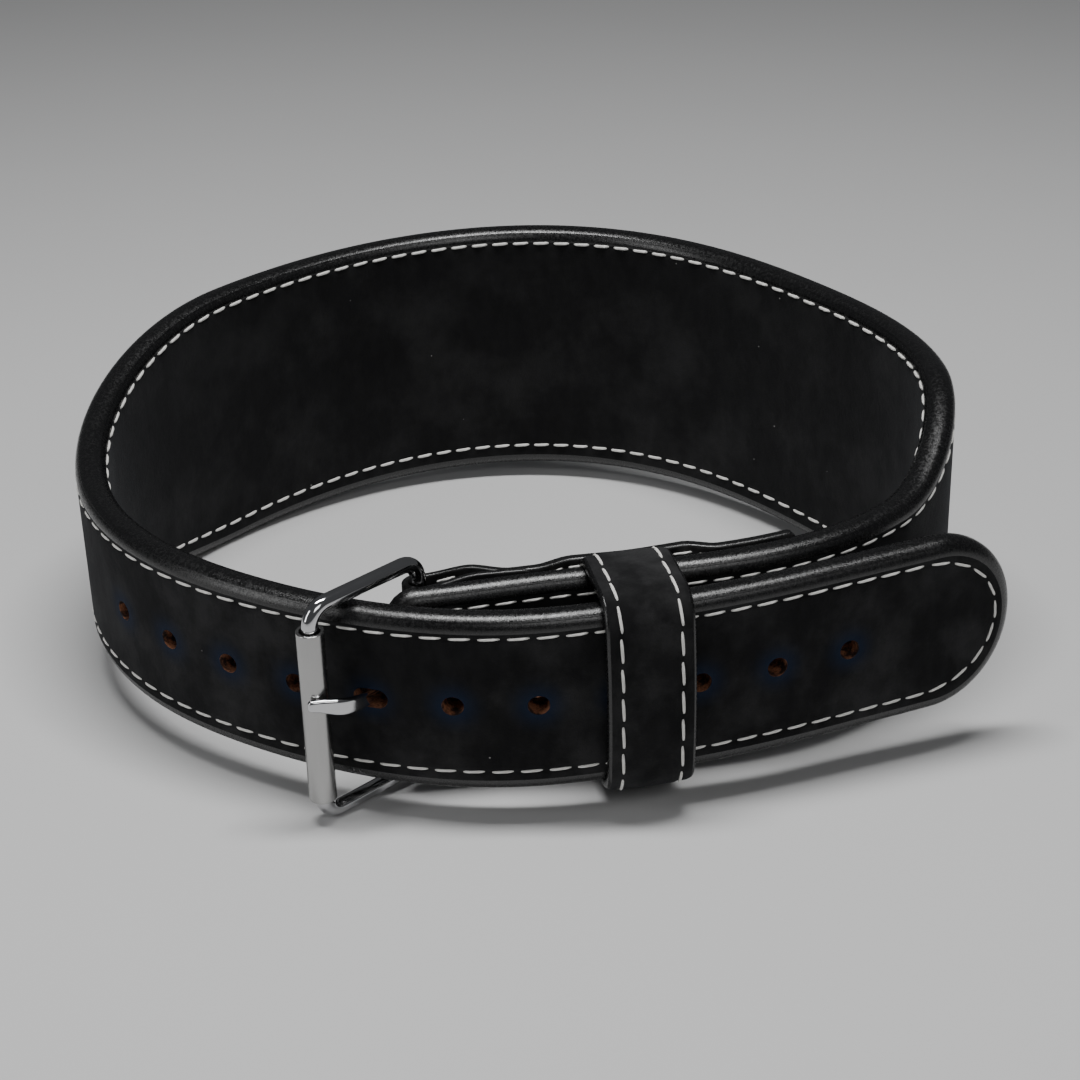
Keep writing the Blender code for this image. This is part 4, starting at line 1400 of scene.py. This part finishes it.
@dataclass
class FoldBackStrip:
    """The thin strip that holds the bar: folded round it and laid back inside the strap to a raw end."""

    strap: Strap
    buckle: Buckle
    height: float = 58 * MM
    fold_height: float = 52 * MM
    thickness: float = 3.2 * MM
    length: float = 115 * MM
    raw_end: float = 5.5 * MM
    short_leg: float = 34 * MM
    slot_height: float = 9 * MM
    slot_length: float = 30 * MM
    corner: float = 2.5 * MM
    soft_edge: float = 0.55 * MM
    edge_rows: tuple = ((0.5, 1), (0.45, 0.55), (0.36, 0.2), (0.25, 0.0), (0.12, 0.05), (0, 0.12))
    face_shares: np.ndarray = field(default_factory=lambda: np.linspace(0, 0.97, 12))
    keeper_thickness: float = 3.0 * MM
    wave: tuple = ((0.12, 0.8), (0.24, 0.1), (0.30, 0.15), (0.41, 1.0), (0.71, 1.0), (0.81, 0.1), (1.00, 0.1))
    fold_blend: tuple = ((0.0, 0), (0.24, 1))
    fold_shoulder: tuple = ((0.6, 0), (2.0, 1))
    fold_turn: int = 6
    leg_step: float = 2.5 * MM
    fold_step: float = 0.7 * MM
    back_step: float = 1.6 * MM
    paring: tuple = ((0.0, 0), (0.45, 1))
    fray: float = 0.35 * MM
    fray_length: float = 2.2 * MM
    fray_seed: int = 11
    face_normal: float = 0.85
    stitch_inset: float = 2.6 * MM
    stitch_ends: tuple = (9.0 * MM, 5.0 * MM)
    stitches: Stitching = field(
        default_factory=lambda: Stitching(pitch=8.3 * MM, dash=6.3 * MM, width=0.8 * MM))

    def thick(self, back: np.ndarray) -> np.ndarray:
        """The strip's thickness at a distance back from the bar: pared thin for the fold."""
        full = ease(self.paring, np.clip(back / self.length, 0, 1))
        return self.buckle.fold_thickness + (self.thickness - self.buckle.fold_thickness) * full

    def __post_init__(self) -> None:
        """Lay out the strip's middle line: along the strap, round the bar and back past the keeper."""
        strap, buckle = self.strap, self.buckle
        radius = buckle.wire / 2 + strap.gap + buckle.fold_thickness / 2
        lie = buckle.strap_face + strap.gap + buckle.fold_thickness / 2
        short = np.arange(buckle.bar_station - self.short_leg, buckle.bar_station, MM)
        points = list(strap.path.at(short, np.full_like(short, -lie)))
        away = strap.path.at(buckle.bar_station, 1.0) - strap.path.at(buckle.bar_station, 0.0)
        first = math.atan2(away[1], away[0])
        for angle in np.radians(np.arange(0, -181, -self.fold_turn)):
            points.append(buckle.bar + radius * np.array([math.cos(first + angle), math.sin(first + angle)]))
        fold_end = len(points)
        leave = np.linalg.norm(points[-1] - strap.path.at(buckle.bar_station, 0.0))
        back = np.arange(4 * MM, self.length + self.raw_end, MM)
        station = buckle.bar_station - back
        stand_off = (self.keeper_thickness + 5 * strap.gap) * ease(self.wave, back / self.length)
        offset = strap.inner_face(station) + strap.gap + stand_off + self.thick(back) / 2
        offset = leave + (offset - leave) * ease(self.fold_blend, back / self.length)
        points.extend(strap.path.at(station, -offset))
        self.path = PlanPath(points)
        self.fold_station = float(self.path.stations[fold_end - 1])
        self.fold_length = math.pi * radius

    def bend(self, flat: np.ndarray) -> np.ndarray:
        """Flat points bent along the strip's line and stood on the floor."""
        return STANCE.place(np.column_stack([self.path.at(flat[:, 0], flat[:, 1]), flat[:, 2]]))

    def half(self, station: np.ndarray) -> np.ndarray:
        """Half the strip's height at a station: narrower at the fold."""
        middle = self.fold_station - self.fold_length / 2
        legs = ease(self.fold_shoulder, abs(station - middle) / self.fold_length)
        return (self.fold_height + (self.height - self.fold_height) * legs) / 2

    def build_leather(self, face: bpy.types.Material, edge: bpy.types.Material) -> bpy.types.Object:
        """Shape the strip flat, slot it, dress its faces and edges, fray its end and bend it.

        Args:
            face: the finish of its faces.
            edge: the finish of its edges.

        Returns:
            The strip.
        """
        start = self.fold_station - self.fold_length
        between = np.concatenate([stops(0.0, start, self.leg_step)[:-1],
                                  stops(start, self.fold_station, self.fold_step),
                                  stops(self.fold_station, self.path.end, self.back_step)[1:]])
        corner = (self.corner, self.corner)
        cut = Cut(0.0, self.path.end, self.half, corner, corner, between)

        def level(share: float) -> Callable[[np.ndarray], np.ndarray]:
            """A level at a share of the strip's thickness."""
            return lambda station: share * self.thick(np.maximum(0, station - self.fold_station))

        soft = self.soft_edge
        far_rows = [(-share, inset) for share, inset in self.edge_rows[-2::-1]]
        levels = [Level(level(0.5), soft, 0.0, share) for share in self.face_shares]
        levels += [Level(level(share), inset * soft, share * self.thickness)
                   for share, inset in (*self.edge_rows, *far_rows)]
        levels += [Level(level(-0.5), soft, 0.0, share) for share in self.face_shares[::-1]]
        piece = shell("strip_leather", cut, levels)
        self.slit(piece)
        dress_with(piece, face, edge)
        for polygon in piece.data.polygons:
            polygon.material_index = int(abs(polygon.normal.y) < self.face_normal)
        flat = points_of(piece)
        rng = np.random.default_rng(self.fray_seed)
        end = np.clip((flat[:, 0] - self.path.end + self.fray_length) / self.fray_length, 0, 1)
        flat[:, 0] -= end * rng.random(len(flat)) * 2 * self.fray
        flat[:, 1] += end * (rng.random(len(flat)) - 0.5) * self.fray
        move_points(piece, self.bend(flat))
        smooth(piece)
        return piece

    def slit(self, piece: bpy.types.Object) -> None:
        """Cut the slot for the prong through the fold."""
        deselect()
        middle = self.fold_station - self.fold_length / 2
        bpy.ops.mesh.primitive_cylinder_add(vertices=32, radius=self.slot_height / 2,
                                            depth=6 * self.thickness, location=(middle, 0, 0),
                                            rotation=ACROSS_LEATHER)
        subtract(piece, [stretched_cutter(middle, (self.slot_length - self.slot_height) / 2)])

    def build_stitches(self, finish: bpy.types.Material) -> bpy.types.Object:
        """Sew the row under the top edge, on the side that faces the strap.

        Args:
            finish: the thread's material.

        Returns:
            The row of stitches.
        """
        near, far = self.stitch_ends
        middle = np.arange(self.fold_station + near, self.path.end - far, self.stitches.pitch)
        ends = []
        for station in (middle - self.stitches.dash / 2, middle + self.stitches.dash / 2):
            depth = -self.thick(station - self.fold_station) / 2
            ends.append(self.bend(np.column_stack([station, depth, self.half(station) - self.stitch_inset])))
        outward = STANCE.turn(-self.path.level_outward(middle))
        place = (ends[0] + ends[1]) / 2
        return self.stitches.sew("strip_stitches", place, ends[1] - ends[0], outward, finish)


@dataclass(frozen=True)
class Camera:
    """The photograph's view, in the strap's frame."""

    place: tuple = (0.00695, -0.73978, 0.37469)
    pitch: float = 0.494
    roll: float = -0.0302
    lens: float = 78.88
    shift: tuple = (0.0032, -0.0016)

    def make(self) -> bpy.types.Object:
        """Set up the scene's camera.

        Returns:
            The camera.
        """
        forward = Vector((0, math.cos(self.pitch), -math.sin(self.pitch)))
        up = Vector((0, math.sin(self.pitch), math.cos(self.pitch)))
        right = Vector((1, 0, 0))
        turned_right = right * math.cos(self.roll) + up * math.sin(self.roll)
        turned_up = up * math.cos(self.roll) - right * math.sin(self.roll)
        matrix = Matrix((turned_right, turned_up, -forward)).transposed().to_4x4()
        matrix.translation = self.place
        data = bpy.data.cameras.new("camera")
        data.lens = self.lens
        data.sensor_width = 36
        data.shift_x, data.shift_y = self.shift
        data.clip_start = 0.05
        camera = bpy.data.objects.new("camera", data)
        bpy.context.scene.collection.objects.link(camera)
        camera.matrix_world = STANCE.matrix() @ matrix
        bpy.context.scene.camera = camera
        return camera


@dataclass(frozen=True)
class SoftBox:
    """A large soft studio light, aimed at the belt."""

    name: str
    place: tuple
    size: tuple
    watts: float
    aim: tuple = (0.0, 0.0, 0.05)

    def make(self) -> None:
        """Hang the light."""
        data = bpy.data.lights.new(self.name, "AREA")
        data.shape = "RECTANGLE"
        data.size, data.size_y = self.size
        data.energy = self.watts
        light = bpy.data.objects.new(self.name, data)
        light.location = self.place
        light.rotation_euler = (Vector(self.aim) - Vector(self.place)).to_track_quat("-Z", "Y").to_euler()
        bpy.context.scene.collection.objects.link(light)


def set_studio() -> None:
    """Lay the floor, hang the lights and light the room softly all round."""
    deselect()
    bpy.ops.mesh.primitive_plane_add(size=FLOOR_SIZE)
    floor = bpy.context.object
    floor.name = "floor"
    floor.data.materials.append(PaleFloor("pale_floor").make())
    SoftBox("top_light", (0.0, -0.12, 1.15), (0.8, 0.16), 15.0).make()
    SoftBox("front_light", (0.45, -1.15, 1.0), (0.7, 0.5), 3.5).make()
    SoftBox("left_light", (-1.1, -0.6, 0.55), (0.25, 0.9), 3.5).make()
    world = bpy.data.worlds.new("room")
    bpy.context.scene.world = world
    world.use_nodes = True
    background = world.node_tree.nodes["Background"]
    background.inputs["Color"].default_value = (0.75, 0.77, 0.80, 1)
    background.inputs["Strength"].default_value = 0.10


def keep(piece: bpy.types.Object, nodes: tuple[str, ...] = ()) -> None:
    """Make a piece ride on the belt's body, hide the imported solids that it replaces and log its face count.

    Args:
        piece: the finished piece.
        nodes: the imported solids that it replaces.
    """
    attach(piece, "root")
    if nodes:
        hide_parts(*nodes)
    LOG.info("%s: %d faces", piece.name, len(piece.data.polygons))


def main() -> None:
    """Build and dress the whole belt."""
    logging.basicConfig(level=logging.INFO, format="%(name)s %(message)s")
    Camera().make()
    outer_suede = Suede("outer_suede_nap").make()
    inner_suede = Suede("inner_suede_nap", patch_scale=30, brushed=(0.0130, 0.0130, 0.0134)).make()
    keeper_suede = Suede("keeper_suede_nap", patch_scale=60, deep=(0.0028, 0.0028, 0.0031)).make()
    edge = PaintedEdge("edge_paint").make()
    raw = RawLeather("raw_leather").make()
    strip_nap = Suede("strip_nap", patch_scale=80, brushed=(0.026, 0.025, 0.025), nap_scale=1500).make()
    strip_hide = PaintedEdge("strip_hide", worn=(0.016, 0.016, 0.016), gloss=0.24).make()
    thread = Thread("white_thread").make()
    chrome = Metal("polished_plating").make()
    satin = Metal("satin_plating", tint=(0.46, 0.457, 0.45), smoothest=0.20, roughest=0.30,
                  brushing=(1, 1, 0.1), brush_scale=500, depth=0.004 * MM).make()

    strap = Strap()
    buckle = Buckle(strap)
    keeper = Keeper(strap)
    strip = FoldBackStrip(strap, buckle)
    keep(strap.build_body([outer_suede, edge, inner_suede, raw]),
         ("outer_suede", "leather_core", "inner_suede"))
    keep(strap.build_stitches(Side.OUTER, thread))
    keep(strap.build_stitches(Side.INNER, thread))
    keep(strip.build_leather(strip_nap, strip_hide), ("fold_back_strip",))
    keep(strip.build_stitches(thread))
    keep(keeper.build_band(keeper_suede, edge), ("keeper_loop",))
    keep(keeper.build_stitches(thread))
    keep(buckle.build_wire(chrome), ("buckle_frame",))
    keep(buckle.build_roller(satin), ("buckle_roller",))
    keep(buckle.build_prong(chrome), ("buckle_prong",))
    set_studio()


if __name__ == "__main__":
    main()
